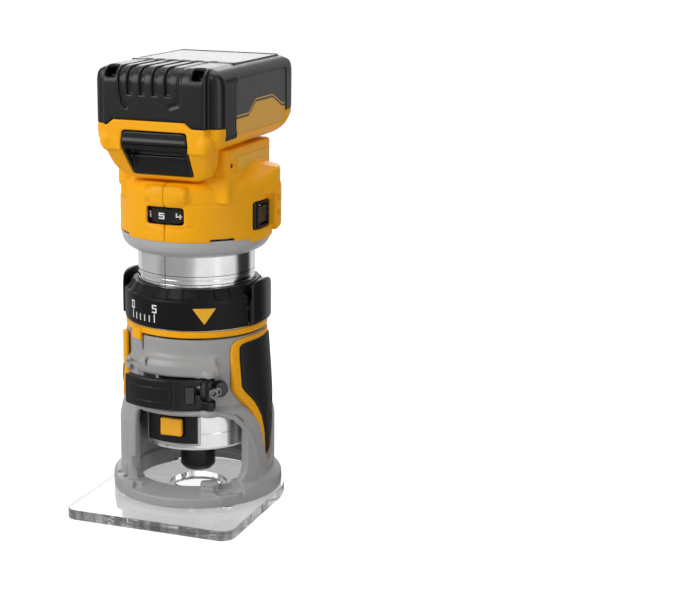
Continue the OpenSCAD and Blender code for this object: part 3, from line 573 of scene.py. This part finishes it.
def release():
    """black insert with its finger scoop, and the bar that is pressed"""
    f = Field(["release_pocket"], 0.4)
    x, y, z = f.x, f.y, f.z
    half = profile(z, [199, 200.5, 219, 226.5, 228], [17.8, 18.2, 20.0, 19.2, 19.0])
    prism = smax(smax(np.abs(x) - half, z - 226.5, 2.0), 200.7 - z, 2.0)
    slope = -(y + 56.8) * 0.80 + (217.5 - z) * 0.60
    outer = smax(smax(prism, smax(-(y + 56.9), slope, 3.0), 0.4), y + 43.2, 0.3)
    back = -44.9 - (z - 202) * 0.12
    scoop = smax(smax(smax(np.abs(x) - half + 1.3, z - 216.4, 0.8), 201.9 - z, 0.8), y - back, 0.8)
    f.A = outer.astype(np.float32)
    f.cut(scoop, 0.5)
    lip = smax(np.abs(z - 211.4) - 0.8, np.abs(x) - half + 1.0, 0.4)
    f.add(smax(lip, np.abs(y + 46.4) - 1.5, 0.6), 1.0)
    f.cut(smax(218.9 - z, y + 50.2, 0.2), 0.2)
    place(f.mesh("release_pocket_finished"), ["release_pocket"])
    b = Field(["release_button"], 0.3)
    wide = profile(b.z, [219, 226.5, 228], [19.8, 19.0, 18.8])
    bar = smax(smax(np.abs(b.x) - wide, b.z - 226.2, 2.0), 219.3 - b.z, 0.6)
    b.A = smax(bar, np.abs(b.y + 53.6) - 2.9 - 0.5 * ramp01(b.z, 222.5, 221.0), 0.7).astype(np.float32)
    place(b.mesh("release_bar"), ["release_button"])


# ---------------------------------------------------------------- head
def polar(f):
    """radius and angle in degrees from -Y towards +X, over the plan of a field"""
    return np.hypot(f.x, f.y), np.degrees(np.arctan2(f.x, -f.y + 0 * f.x))


def head():
    f = Field(["head_shell_right", "head_shell_left"], 0.6)
    x, y, z = f.x, f.y, f.z
    r, th = polar(f)
    f.soften(0.75, ramp01(z, 165.5, 167.5))
    # corner of the neck runs down to the shoulder line, and the neck's side meets the shoulder in a hollow
    for sgn in (1, -1):
        sx = x * sgn
        half = 35.3 if sgn > 0 else 32.6
        corner = smax(smax(rect2(sx, y, 10, half, -34.3, 0, 2.5), z - 200, 1), 184.6 - z, 1.0)
        if sgn < 0:
            f.cut(smax(smax(43.0 - 0.944 * sx + 0.3275 * y, 184 - z, 0.5), z - 213, 0.5) + (y > 6) * 9, 1.0)
        f.add(smax(corner, 26 - sx, 2), 1.2)
        # shoulder that rises from the crease at the front to the cowl at the side
        ath = sgn * th
        reach = 44.2 + 5.0 * ramp01(ath, 84, 97)
        rim = 184.0 + 16.5 * ramp01(ath, 52, 96) - 14.0 * ramp01(ath, 122, 150)
        top = 198.5 + 7.0 * ramp01(ath, 55, 95)
        part = np.clip((r - 35.0) / (reach - 35.0), 0, 1)
        roof = rim + (top - rim) * (1 - part) ** 1.6
        shoulder = smax(smax((z - roof) * 0.72, r - reach, 2.0), 186.5 - z - (ath > 97) * 6, 0.6)
        if sgn < 0:
            shoulder = smax(shoulder, 80 - ath, 2.0)
        f.add(smax(smax(shoulder, 30 - sx, 2), 34 - r, 1), 0.9)
        # cowl closed down to its front edge, with three small slots
        wall = smax(smax(np.abs(sgn * th - 100.5) * 0.85 - 4.0, r - 49.4, 2.5), 41 - r, 0.5)
        f.add(smax(wall, np.abs(z - 184.2) - 17.2, 3.0), 1.2)
        for sz in (174.4, 183.2, 191.8):
            f.cut(smax(smax(np.abs(sgn * th - 99.6) * 0.85 - 1.5, np.abs(z - sz) - 2.0, 0.8), 46.4 - r, 0.4), 0.5)
    # lip over the vents, lower at the right under the switch
    closed = np.minimum(np.minimum(np.abs(th + 47) - 10, np.abs(th - 44) - 9.6), 60)
    lip = smax(smax(np.abs(z - 164.6) - 2.2, np.abs(r - 43.2) - 1.1, 0.5), (0.3 - closed) * 0.77, 0.3)
    f.add(lip, 0.6)
    low = smax(smax(np.abs(z - 163.0) - 2.6, np.abs(r - 43.5) - 1.1, 0.6), (np.abs(th - 104) - 36) * 0.77, 0.5)
    f.add(low, 0.6)
    # rounded boss over the dial
    f.add(smax(rect2(x, z, -10.2, 13.4, 184.2, 194.6, 4.8) - 0.4, np.abs(r - 42.6) - 2.9, 2.6), 1.6)
    # shallow lines under the dial window and along the shoulder
    under = path2(x, z, [(-9, 171.5), (0, 170.4), (9, 170.3), (16.5, 171.6)], 0.55)
    f.cut(smax(smax(under, y + 30, 1), 43.7 - r, 0.4), 0.8)
    crease = path2(x, z, [(12, 183.8), (24, 184.2), (36, 184.4)], 0.35)
    f.cut(smax(smax(crease, y + 5, 1), 44.0 - r, 0.3), 0.8)
    # rim of the dial window
    win = rect2(x, z, -11.7, 11.0, 172.6, 182.2, 1.6)
    f.cut(smax(smax(win, y + 30, 0.3), 41.2 - r, 0.3), 0.5)
    # joint between the halves
    for sgn, side in ((1, "right"), (-1, "left")):
        g = f.copy()
        g.keep(0.09 - x * sgn, 0.25)
        place(g.mesh(f"head_cover_{side}"), [f"head_shell_{side}"])


# ---------------------------------------------------------------- ring, its tabs and the band under it
def ring():
    f = Field(["depth_ring"], 0.45)
    x, y, z = f.x, f.y, f.z
    r, th = polar(f)
    cone = (r - 42.4) * 0.834 + (z - 127.6) * 0.552
    body = smax(smax(smax(cone, r - 42.4, 0.7), 110.7 - z, 1.5), 40.4 - r - (z > 126.5) * 4.4, 0.4)
    body = smax(body, z - 133.9, 1.0)
    body = np.where(np.abs(y) < 15.2, smax(body, np.abs(x) - 36.2, 0.6), body)
    f.soften(0.35)
    f.A = smin(f.A, body, 0.3).astype(np.float32)
    f.keep(smax(cone, r - 42.45, 0.7), 0.3)
    step = ((th + 2.0) / 13.333) % 1.0
    depth = 1.15 * np.clip(np.minimum(step / 0.10, 1.0) * (1.05 - step * 0.75), 0, 1)
    zone = ramp01(z, 128.0, 128.8)
    f.A = smax(f.A, cone + depth * zone - 0.02, 0.3).astype(np.float32)
    place(f.mesh("ring_finished"), ["depth_ring"], M["ring_black"])
    for side in ("right", "left"):
        t = Field([f"release_tab_{side}"], 0.35)
        t.soften(0.45)
        top = 136.4 - ((t.y + 2.0) / 14.0) ** 2 * 1.8
        t.keep((t.z - top) * 0.9, 1.5)
        rr, _ = polar(t)
        t.keep(rr - 44.7 + 0.10 * np.maximum(t.z - 129, 0) * 1.2, 1.5)
        place(t.mesh(f"tab_{side}"), [f"release_tab_{side}"])
    b = Field(["trim_band"], 0.4)
    r, th = polar(b)
    b.soften(0.3)
    tab = smax(smax(np.abs(th + 31.2) * 0.75 - 4.3, np.abs(b.z - 105.6) - 3.5, 0.6), np.abs(r - 42.3) - 1.1, 0.4)
    b.cut(smax(b.z - 104.9, 41.6 - r, 0.2) + (np.abs(th + 31) > 9) * 3, 0.2)
    b.keep(106.2 - b.z, 0.8)
    b.add(tab, 0.5)
    place(b.mesh("trim_band_finished"), ["trim_band"])


# ---------------------------------------------------------------- base casting
def tube(f, pts, rad, k):
    """adds a rounded rib along points given as (angle, radius, height)"""
    P = [np.array((r * math.sin(math.radians(a)), -r * math.cos(math.radians(a)), h)) for a, r, h in pts]
    d = None
    for a, b in zip(P[:-1], P[1:]):
        v = b - a
        t = np.clip(((f.x - a[0]) * v[0] + (f.y - a[1]) * v[1] + (f.z - a[2]) * v[2]) / (v @ v), 0, 1)
        e = np.sqrt((f.x - a[0] - t * v[0]) ** 2 + (f.y - a[1] - t * v[1]) ** 2 + (f.z - a[2] - t * v[2]) ** 2)
        d = e if d is None else np.minimum(d, e)
    f.add(d - rad, k)


def base():
    f = Field(["base_casting"], 0.65)
    x, y, z = f.x, f.y, f.z
    r, th = polar(f)
    arc, inner_arc = 0.768, 0.7   # mm round the casting for one degree, outside and inside
    outside = ramp01(r, 36.5, 38.5)
    f.soften(0.9, outside * (1 - ramp01(z, 99, 102)) * (0.45 * ramp01(z, 7.5, 9.5) + 0.55 * ramp01(z, 20, 26)))
    # window reaches further round behind the ridge of the right leg, and the legs are thin beside it
    f.cut(smax(rect2(th * arc, z, 20 * arc, 62.5 * arc, 16.9, 59.4, 10), 33 - r, 0.5), 0.8)
    thin = rect2(th * inner_arc, z, -42 * inner_arc, 71 * inner_arc, 17.4, 59.0, 9)
    f.cut(smax(smax(thin, 33 - r, 0.5), r - 40.9, 1.0), 0.6)
    # blocks at the feet
    f.cut(smax(smax(np.abs(th + 26) * 0.75 - 5.6, 16.2 - z, 0.5), 33 - r, 0.5) + (z > 30) * 5, 0.5)
    f.add(smax(smax(np.abs(th + 44) * 0.76 - 4.6, np.abs(r - 44.8) - 2.6, 1.4), np.abs(z - 17.5) - 6.5, 1.4), 0.8)
    f.add(smax(smax(np.abs(th - 33.5) * 0.70 - 5.0, np.abs(r - 40.2) - 3.0, 1.4), np.abs(z - 12.5) - 6.6, 1.4), 0.8)
    # the split is closed here and shows beside the left grip instead
    f.add(smax(smax(np.abs(th + 37) * 0.72 - 3.6, np.abs(r - 39.9) - 1.4, 0.4), np.abs(z - 86.4) - 22.4, 0.5), 0.4)
    f.cut(smax(smax(np.abs(th + 47.2) * 0.75 - 0.5, 66 - z, 0.3), 33 - r, 0.3), 0.3)
    # ledge above the lever, with its fillet and its end curving down to the pivot
    ledge = smax(smax(np.abs(z - 87.3) - 3.2, r - 45.1, 1.6), np.abs(th - 6.5) * 0.75 - 25.5, 3.0)
    f.add(smax(ledge, 35 - r, 0.5), 1.0)
    f.add(smax(smax(smax((z - 94.5) * 0.8 + (r - 41.6) * 0.6, 88 - z, 0.5), r - 44.5, 1),
               smax(np.abs(th - 6.5) * 0.75 - 24.5, 35 - r, 0.5), 2.0), 1.5)
    f.add(smax(smax(np.abs(th - 30) * 0.77 - 8.0, np.abs(r - 42.4) - 2.7, 2.2), np.abs(z - 86.9) - 3.0, 2.2), 1.2)
    # lug with the split clamp screw
    f.add(smax(smax(np.abs(th + 43.6) * 0.77 - 3.0, np.abs(r - 42.6) - 1.9, 0.8), np.abs(z - 85.6) - 3.4, 0.8), 0.6)
    q = spot(-42.5, 43.6)
    f.cut(smax(np.hypot((x - q[0]) * 0.9, z - 86.2) - 1.2, 42.9 - r, 0.2) + (x > 0) * 9 + (y > 0) * 9, 0.2)
    # rim under the lever, running into the ridge down the right leg
    tube(f, [(-24, 44.6, 62.6), (0, 45.0, 62.2), (22, 45.4, 62.4), (38, 45.9, 61.8), (52.5, 46.0, 57.6),
             (63.5, 46.0, 48.8), (69.9, 46.0, 38.4), (72.7, 46.2, 28.0), (75.5, 47.0, 19.0), (77, 48.2, 13.0)],
         1.5, 1.6)
    # rib down the inside of the left leg
    tube(f, [(-31.6, 43.6, 58.0), (-32.5, 43.8, 46.0), (-34.2, 44.2, 34.0), (-36.5, 44.4, 24.5),
             (-33.0, 43.6, 18.0)], 1.3, 2.0)
    # pads beside the left foot and the front right recess, with their holes
    f.add(smax(np.hypot((th + 43.5) * 0.84, r - 47.0) - 5.6, z - 16.4, 1.6) + (z < 10) * 5, 1.2)
    for a, rad in ((-48.5, 48.0), (-39.5, 47.4)):
        q = spot(a, rad)
        f.cut(smax(np.hypot(x - q[0], y - q[1]) - 1.25, 12.5 - z, 0.2), 0.3)
    pad = smax(np.abs(th - 45.6) * 0.86 - 4.6, 0 * r - 9, 0.1)
    obl = np.hypot(np.maximum(pad, 0), r - 48.4) - 2.5
    f.add(smax(obl - 0.9, np.abs(z - 10.9) - 2.5, 0.7), 0.5)
    f.cut(smax(obl, 12.1 - z, 0.2), 0.25)
    for a in (41.6, 49.6):
        q = spot(a, 48.4)
        f.cut(smax(np.hypot(x - q[0], y - q[1]) - 1.25, 7.6 - z, 0.2), 0.2)
    # bevel on the rim of the flange, round from the right leg
    bevel = smax(-((r - 50.8) * 0.6 + (z - 13.4) * 0.8), 47.4 - r, 0.6)
    f.cut(smax(bevel, np.maximum(58 - th, 0) * 0.8 + (z > 22) * 9, 0.6), 1.0)
    # dimple on the ledge
    q = (-13.0, -41.6)
    f.cut(smax(np.hypot(x - q[0], y - q[1]) - 1.3, 87.6 - z, 0.3), 0.3)
    place(f.mesh("base_finished"), ["base_casting"])


# ---------------------------------------------------------------- grips, lever and small pieces
def grips():
    for side, sgn in (("right", 1), ("left", -1)):
        f = Field([f"rubber_grip_{side}"], 0.5)
        f.soften(0.7)
        x, y, z = f.x * sgn, f.y, f.z
        dy = np.arctan2(y + 0 * x, x + 0 * y) * 47
        # two columns of shallow oval dimples, which run into one lower down
        for k in range(6):
            zz = 94.0 - 11.0 * k
            for col in ((-5.5, 5.5) if k < 4 else (4.0,)):
                dim = np.sqrt(((dy - col - 2.5) / 1.7) ** 2 + ((z - zz) / 2.6) ** 2) - 1
                f.cut(smax(dim * 1.9, 45.0 - np.hypot(x, y), 0.4), 0.4)
        place(f.mesh(f"grip_{side}"), [f"rubber_grip_{side}"])
        g = Field([f"grip_edging_{side}"], 0.4)
        g.soften(0.45)
        if side == "left":
            gr, gth = polar(g)
            wide = smax(np.abs(gth + 51.2) * 0.785 - 3.0, np.abs(gr - 43.4) - 1.3, 0.5)
            g.add(smax(wide, np.abs(g.z - 93.5) - 10.5, 0.8), 0.6)
        place(g.mesh(f"edging_{side}"), [f"grip_edging_{side}"])


SCREW_Z = 75.4   # mm, height of the clamp's adjusting screw


def lever():
    """lever, collar, adjusting screw and the small pieces that only need their edges rounded"""
    f = Field(["locking_lever"], 0.35)
    f.soften(0.5)
    x, y, z = f.x, f.y, f.z
    r = np.hypot(x + 5, y + 10)
    a = np.degrees(np.arctan2(x + 5, -(y + 10) + 0 * x))
    u = a * 0.698
    frame_line = np.abs(rect2(u, z, -20, 9.5, 69.6, 78.0, 1.0)) - 0.28
    f.cut(smax(frame_line, 39.75 - r, 0.2), 0.25)
    f.cut(smax(np.abs(u - 12.6) - 0.25, 39.7 - r, 0.2), 0.25)
    # opening of the fork, which the screw head passes through when the lever swings out
    f.cut(smax(np.hypot(x - 24.0, y + 37.5) - 7.7, np.abs(z - SCREW_Z) - 3.3, 0.4), 0.4)
    place(f.mesh("lever_finished"), ["locking_lever"])
    for node, h, sigma in (("lever_insert", 0.3, 0.35), ("spindle_lock_button", 0.3, 0.35),
                           ("lock_housing", 0.4, 0.3), ("switch_frame", 0.35, 0.4), ("power_rocker", 0.3, 0.35),
                           ("clamp_plunger", 0.3, 0.3), ("collet_nut", 0.35, 0.35)):
        softened(node, h, sigma, M["lock_panel"] if node == "lock_housing" else None)
    # bulging underside of the collar
    f = Field(["barrel_collar"], 0.45)
    r, _ = polar(f)
    bulge = np.hypot(np.maximum(r - 34.4, 0) / 9.3, np.minimum(f.z - 161.6, 0) / 9.0) - 1
    f.add(smax(smax(bulge * 8.0, f.z - 162.6, 0.4), np.minimum(36.4, 34.6 + (f.z - 152) * 0.9) - r, 0.4), 0.5)
    place(f.mesh("collar_finished"), ["barrel_collar"], M["collar_grey"])
    # screw head in front of the swivel, with its hexagon socket
    f = Field(["adjusting_screw"], 0.25, 4)
    d = spot(34.6, 1.0)
    along = f.x * d[0] + f.y * d[1]
    across = -f.x * d[1] + f.y * d[0]
    rad = np.hypot(across, f.z - SCREW_Z)
    f.add(smax(rad - 2.7, np.abs(along - 48.2) - 2.2, 0.5), 0.3)
    up = np.abs(f.z - SCREW_Z)
    six = np.maximum(up, np.abs(across) * 0.866 + up * 0.5) - 1.5
    f.cut(smax(six, 48.0 - along, 0.1), 0.15)
    place(f.mesh("adjusting_screw_finished"), ["adjusting_screw"], M["screw_grey"])


def coil(name, node, start, end, radius, wire, turns):
    """closed wire spring along Y between two points, in mm, in place of a CAD node"""
    start, end = np.array(start), np.array(end)
    length = np.linalg.norm(end - start)
    steps, sides = int(turns * 28), 10
    # the first and last turn lie flat
    turn_ends, reach = [0, 1, turns - 1, turns], [wire, 3.2 * wire, length - 3.2 * wire, length - wire]
    verts, faces = [], []
    for i in range(steps + 1):
        t = i / steps
        a = 2 * math.pi * turns * t
        mid = start + (end - start) / length * np.interp(t * turns, turn_ends, reach)
        out = np.array((math.cos(a), 0.0, math.sin(a)))
        for k in range(sides):
            b = 2 * math.pi * k / sides
            side = out * (radius + wire * math.cos(b)) + np.array((0, 1.0, 0)) * wire * math.sin(b)
            verts.append((mid + side) * MM)
    for i in range(steps):
        for k in range(sides):
            j = (k + 1) % sides
            faces.append((i * sides + k, i * sides + j, (i + 1) * sides + j, (i + 1) * sides + k))
    faces += [tuple(range(sides))[::-1], tuple(steps * sides + k for k in range(sides))]
    me = bpy.data.meshes.new(name)
    me.from_pydata([tuple(v) for v in verts], [], faces)
    me.validate()
    me.shade_smooth()
    return place(in_scene(name, me), [node])


GLYPHS = {
    0: [[(0, 0), (1, 0), (1, 1), (0, 1), (0, 0)]],
    1: [[(0.5, 0), (0.5, 1), (0.15, 0.8)]],
    2: [[(0, 1), (1, 1), (1, 0.5), (0, 0.5), (0, 0), (1, 0)]],
    3: [[(0, 1), (1, 1), (1, 0), (0, 0)], [(0.2, 0.5), (1, 0.5)]],
    4: [[(0, 1), (0, 0.4), (1, 0.4)], [(0.75, 0.75), (0.75, 0)]],
    5: [[(1, 1), (0, 1), (0, 0.55), (1, 0.55), (1, 0), (0, 0)]],
    6: [[(1, 1), (0, 1), (0, 0), (1, 0), (1, 0.5), (0, 0.5)]],
    7: [[(0, 1), (1, 1), (1, 0)]],
}


class Printed:
    """Thin printed shapes wrapped on an upright cylinder"""

    def __init__(self, centre, radius, thick=0.10):
        self.c, self.r, self.t = centre, radius, thick
        self.v, self.f = [], []

    def slab(self, quad):
        """quad: four (arc length mm, height mm) corners, anticlockwise"""
        n = len(self.v)
        # each slab stands a hair above the last, so that crossing strokes don't share a plane
        for rad in (self.r - 0.05, self.r + self.t + 0.0012 * (n // 8)):
            for u, h in quad:
                a = u / self.r
                x, y = self.c[0] + rad * math.sin(a), self.c[1] - rad * math.cos(a)
                self.v.append((x * MM, y * MM, h * MM))
        self.f += [(n + 4, n + 5, n + 6, n + 7), (n + 3, n + 2, n + 1, n)]
        self.f += [(n + i, n + (i + 1) % 4, n + 4 + (i + 1) % 4, n + 4 + i) for i in range(4)]

    def stroke(self, a, b, w):
        dx, dy = b[0] - a[0], b[1] - a[1]
        n = math.hypot(dx, dy)
        ex, ey = dx / n * w / 2, dy / n * w / 2
        self.slab([(a[0] - ex + ey, a[1] - ey - ex), (b[0] + ex + ey, b[1] + ey - ex),
                   (b[0] + ex - ey, b[1] + ey + ex), (a[0] - ex - ey, a[1] - ey + ex)])

    def glyph(self, digit, u, h, wide, high, w):
        for line in GLYPHS[digit]:
            pts = [(u + (p - 0.5) * wide, h + q * high) for p, q in line]
            for a, b in zip(pts[:-1], pts[1:]):
                self.stroke(a, b, w)

    def done(self, name, body, material):
        me = bpy.data.meshes.new(name)
        me.from_pydata(self.v, [], self.f)
        me.validate()
        o = in_scene(name, me)
        me.materials.append(M[material].m)
        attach(o, body)


def marks():
    """figures on the speed dial, and the scale and triangle on the depth ring"""
    dial_r, ring_r = 16.0, 42.42
    dial = Printed((-0.5, -27.3), dial_r)
    for digit in range(1, 8):
        a = math.radians(-5.5 + (5 - digit) * 36.5)
        dial.glyph(digit, a * dial_r, 175.9, 2.9, 2.8, 0.75)
    dial.done("dial_numbers", "dial", "dial_white")
    scale = Printed((0, 0), ring_r)
    for k in range(6):
        u = math.radians(-36 + 5 * k) * ring_r
        scale.stroke((u, 114.4), (u, 117.6 if k % 5 else 118.8), 0.7)
    scale.glyph(0, math.radians(-36) * ring_r, 120.2, 2.4, 4.0, 0.8)
    scale.glyph(5, math.radians(-11) * ring_r, 120.2, 2.4, 4.0, 0.8)
    scale.done("ring_scale", "ring", "dial_white")
    arrow = Printed((0, 0), ring_r)
    mid, half, n = math.radians(29.8) * ring_r, 6.5, 10
    for k in range(n):
        u0, u1 = mid - half + 13.0 * k / n, mid - half + 13.0 * (k + 1) / n
        h0, h1 = (114.6 + 9.0 * abs(u - mid) / half for u in (u0, u1))
        arrow.slab([(u0, h0 - 0.001), (u1, h1 - 0.001), (u1, 124.0), (u0, 124.0)])
    arrow.done("ring_mark", "ring", "mark_yellow")


battery()
release()
head()
ring()
base()
grips()
lever()
spring_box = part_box("lock_spring")
pin_z = (spring_box[0][2] + spring_box[1][2]) / 2 / MM
spring = coil("lock_spring_wire", "lock_spring", (0, -22.5, pin_z), (0, -34.9, pin_z), 3.05, 0.42, 7)
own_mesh(spring)
marks()
NODES["lever_pivot_pin"].material_slots[0].material = M["dark_steel_e"].m


# ---------------------------------------------------------------- studio
# (degrees from -Y towards +X, brightness)
WALLS = [(-180, 0.75), (-116, 0.80), (-107, 0.52), (-60, 0.55), (-45, 0.36), (0, 0.40), (16, 0.55), (26, 0.95),
         (102, 0.85), (112, 0.03), (146, 0.03), (154, 0.80), (180, 0.75)]


def compass(t, vector):
    """brightness that shiny surfaces see in each compass direction, from -Y towards +X"""
    sep = t.nodes.new("ShaderNodeSeparateXYZ")
    t.links.new(vector, sep.inputs[0])
    neg = t.nodes.new("ShaderNodeMath")
    neg.operation = "MULTIPLY"
    neg.inputs[1].default_value = -1.0
    t.links.new(sep.outputs["Y"], neg.inputs[0])
    ang = t.nodes.new("ShaderNodeMath")
    ang.operation = "ARCTAN2"
    t.links.new(sep.outputs["X"], ang.inputs[0])
    t.links.new(neg.outputs[0], ang.inputs[1])
    unit = t.nodes.new("ShaderNodeMapRange")
    unit.inputs["From Min"].default_value = -math.pi
    unit.inputs["From Max"].default_value = math.pi
    t.links.new(ang.outputs[0], unit.inputs["Value"])
    ramp = t.nodes.new("ShaderNodeValToRGB")
    e = ramp.color_ramp.elements
    while len(e) < len(WALLS):
        e.new(0.5)
    for el, (deg, v) in zip(e, WALLS):
        el.position = (deg + 180) / 360
        el.color = (v, v, v, 1)
    t.links.new(unit.outputs["Result"], ramp.inputs["Fac"])
    return ramp.outputs["Color"]


def mixed(t, factor, a, b):
    n = t.nodes.new("ShaderNodeMixShader")
    for i, socket in enumerate((factor, a, b)):
        t.links.new(socket, n.inputs[i])
    return n.outputs[0]


def studio():
    scene = bpy.context.scene
    world = bpy.data.worlds.new("studio")
    world.use_nodes = True
    t = world.node_tree
    bg = t.nodes["Background"]
    scene.world = world
    lp = t.nodes.new("ShaderNodeLightPath")
    bg.inputs["Color"].default_value = (0.25, 0.25, 0.25, 1)
    # what shiny surfaces see: bright walls with dark gaps between them, by compass angle
    gloss = t.nodes.new("ShaderNodeBackground")
    co = t.nodes.new("ShaderNodeTexCoord")
    t.links.new(compass(t, co.outputs["Generated"]), gloss.inputs["Color"])
    gloss.inputs["Strength"].default_value = 0.9
    shiny = mixed(t, lp.outputs["Is Glossy Ray"], bg.outputs[0], gloss.outputs[0])
    white = t.nodes.new("ShaderNodeBackground")
    white.inputs["Color"].default_value = (1, 1, 1, 1)
    white.inputs["Strength"].default_value = 1.0
    seen = mixed(t, lp.outputs["Is Camera Ray"], shiny, white.outputs[0])
    t.links.new(seen, t.nodes["World Output"].inputs["Surface"])

    def area(name, at, to, size, power):
        li = bpy.data.lights.new(name, "AREA")
        li.shape = "RECTANGLE"
        li.size, li.size_y = size
        li.energy = power
        o = bpy.data.objects.new(name, li)
        at, to = Vector(at), Vector(to)
        o.rotation_euler = (to - at).to_track_quat("-Z", "Y").to_euler()
        o.location = at
        scene.collection.objects.link(o)

    area("key", (-0.60, -0.85, 0.70), (0, 0, 0.12), (0.55, 0.9), 8.6)
    area("fill", (1.0, -0.50, 0.35), (0, 0, 0.12), (0.22, 0.9), 2.6)
    area("top", (0.05, 0.15, 1.25), (0, 0, 0.1), (0.9, 0.9), 6)
    area("back", (-0.5, 0.95, 0.6), (0, 0, 0.15), (0.9, 0.7), 4)

    me = bpy.data.meshes.new("floor")
    s = 6.0
    me.from_pydata([(-s, -s, 0), (s, -s, 0), (s, s, 0), (-s, s, 0)], [], [(0, 1, 2, 3)])
    floor = bpy.data.objects.new("floor", me)
    scene.collection.objects.link(floor)
    m = Mat("floor", (0.30, 0.30, 0.30), 0.7)
    m.tint(m.noise(3.0), 0.01)
    m.bsdf.inputs["Emission Color"].default_value = (1, 1, 1, 1)
    dim = m.node("ShaderNodeBsdfDiffuse")
    dim.inputs["Color"].default_value = (0.62, 0.62, 0.62, 1)
    lp2 = m.node("ShaderNodeLightPath")
    # a little darker where it is seen through the clear sub-base
    level = m.node("ShaderNodeMath", operation="MULTIPLY_ADD")
    m.link(lp2.outputs["Is Transmission Ray"], level.inputs[0])
    level.inputs[1].default_value = -0.34
    level.inputs[2].default_value = 0.90
    m.link(level.outputs[0], m.bsdf.inputs["Emission Strength"])
    glow = m.node("ShaderNodeEmission")
    geo = m.node("ShaderNodeNewGeometry")
    m.link(compass(m.t, geo.outputs["Position"]), glow.inputs["Color"])
    glow.inputs["Strength"].default_value = 0.9
    other = mixed(m.t, lp2.outputs["Is Glossy Ray"], dim.outputs[0], glow.outputs[0])
    direct = m.math("MAXIMUM", lp2.outputs["Is Camera Ray"], lp2.outputs["Is Transmission Ray"])
    pick = mixed(m.t, direct, other, m.bsdf.outputs[0])
    # seen from below the floor is clear, so that the underside shows
    clear = m.node("ShaderNodeBsdfTransparent")
    below = mixed(m.t, geo.outputs["Backfacing"], pick, clear.outputs[0])
    m.link(below, m.t.nodes["Material Output"].inputs["Surface"])
    me.materials.append(m.m)
    scene.view_settings.view_transform = "Standard"


studio()
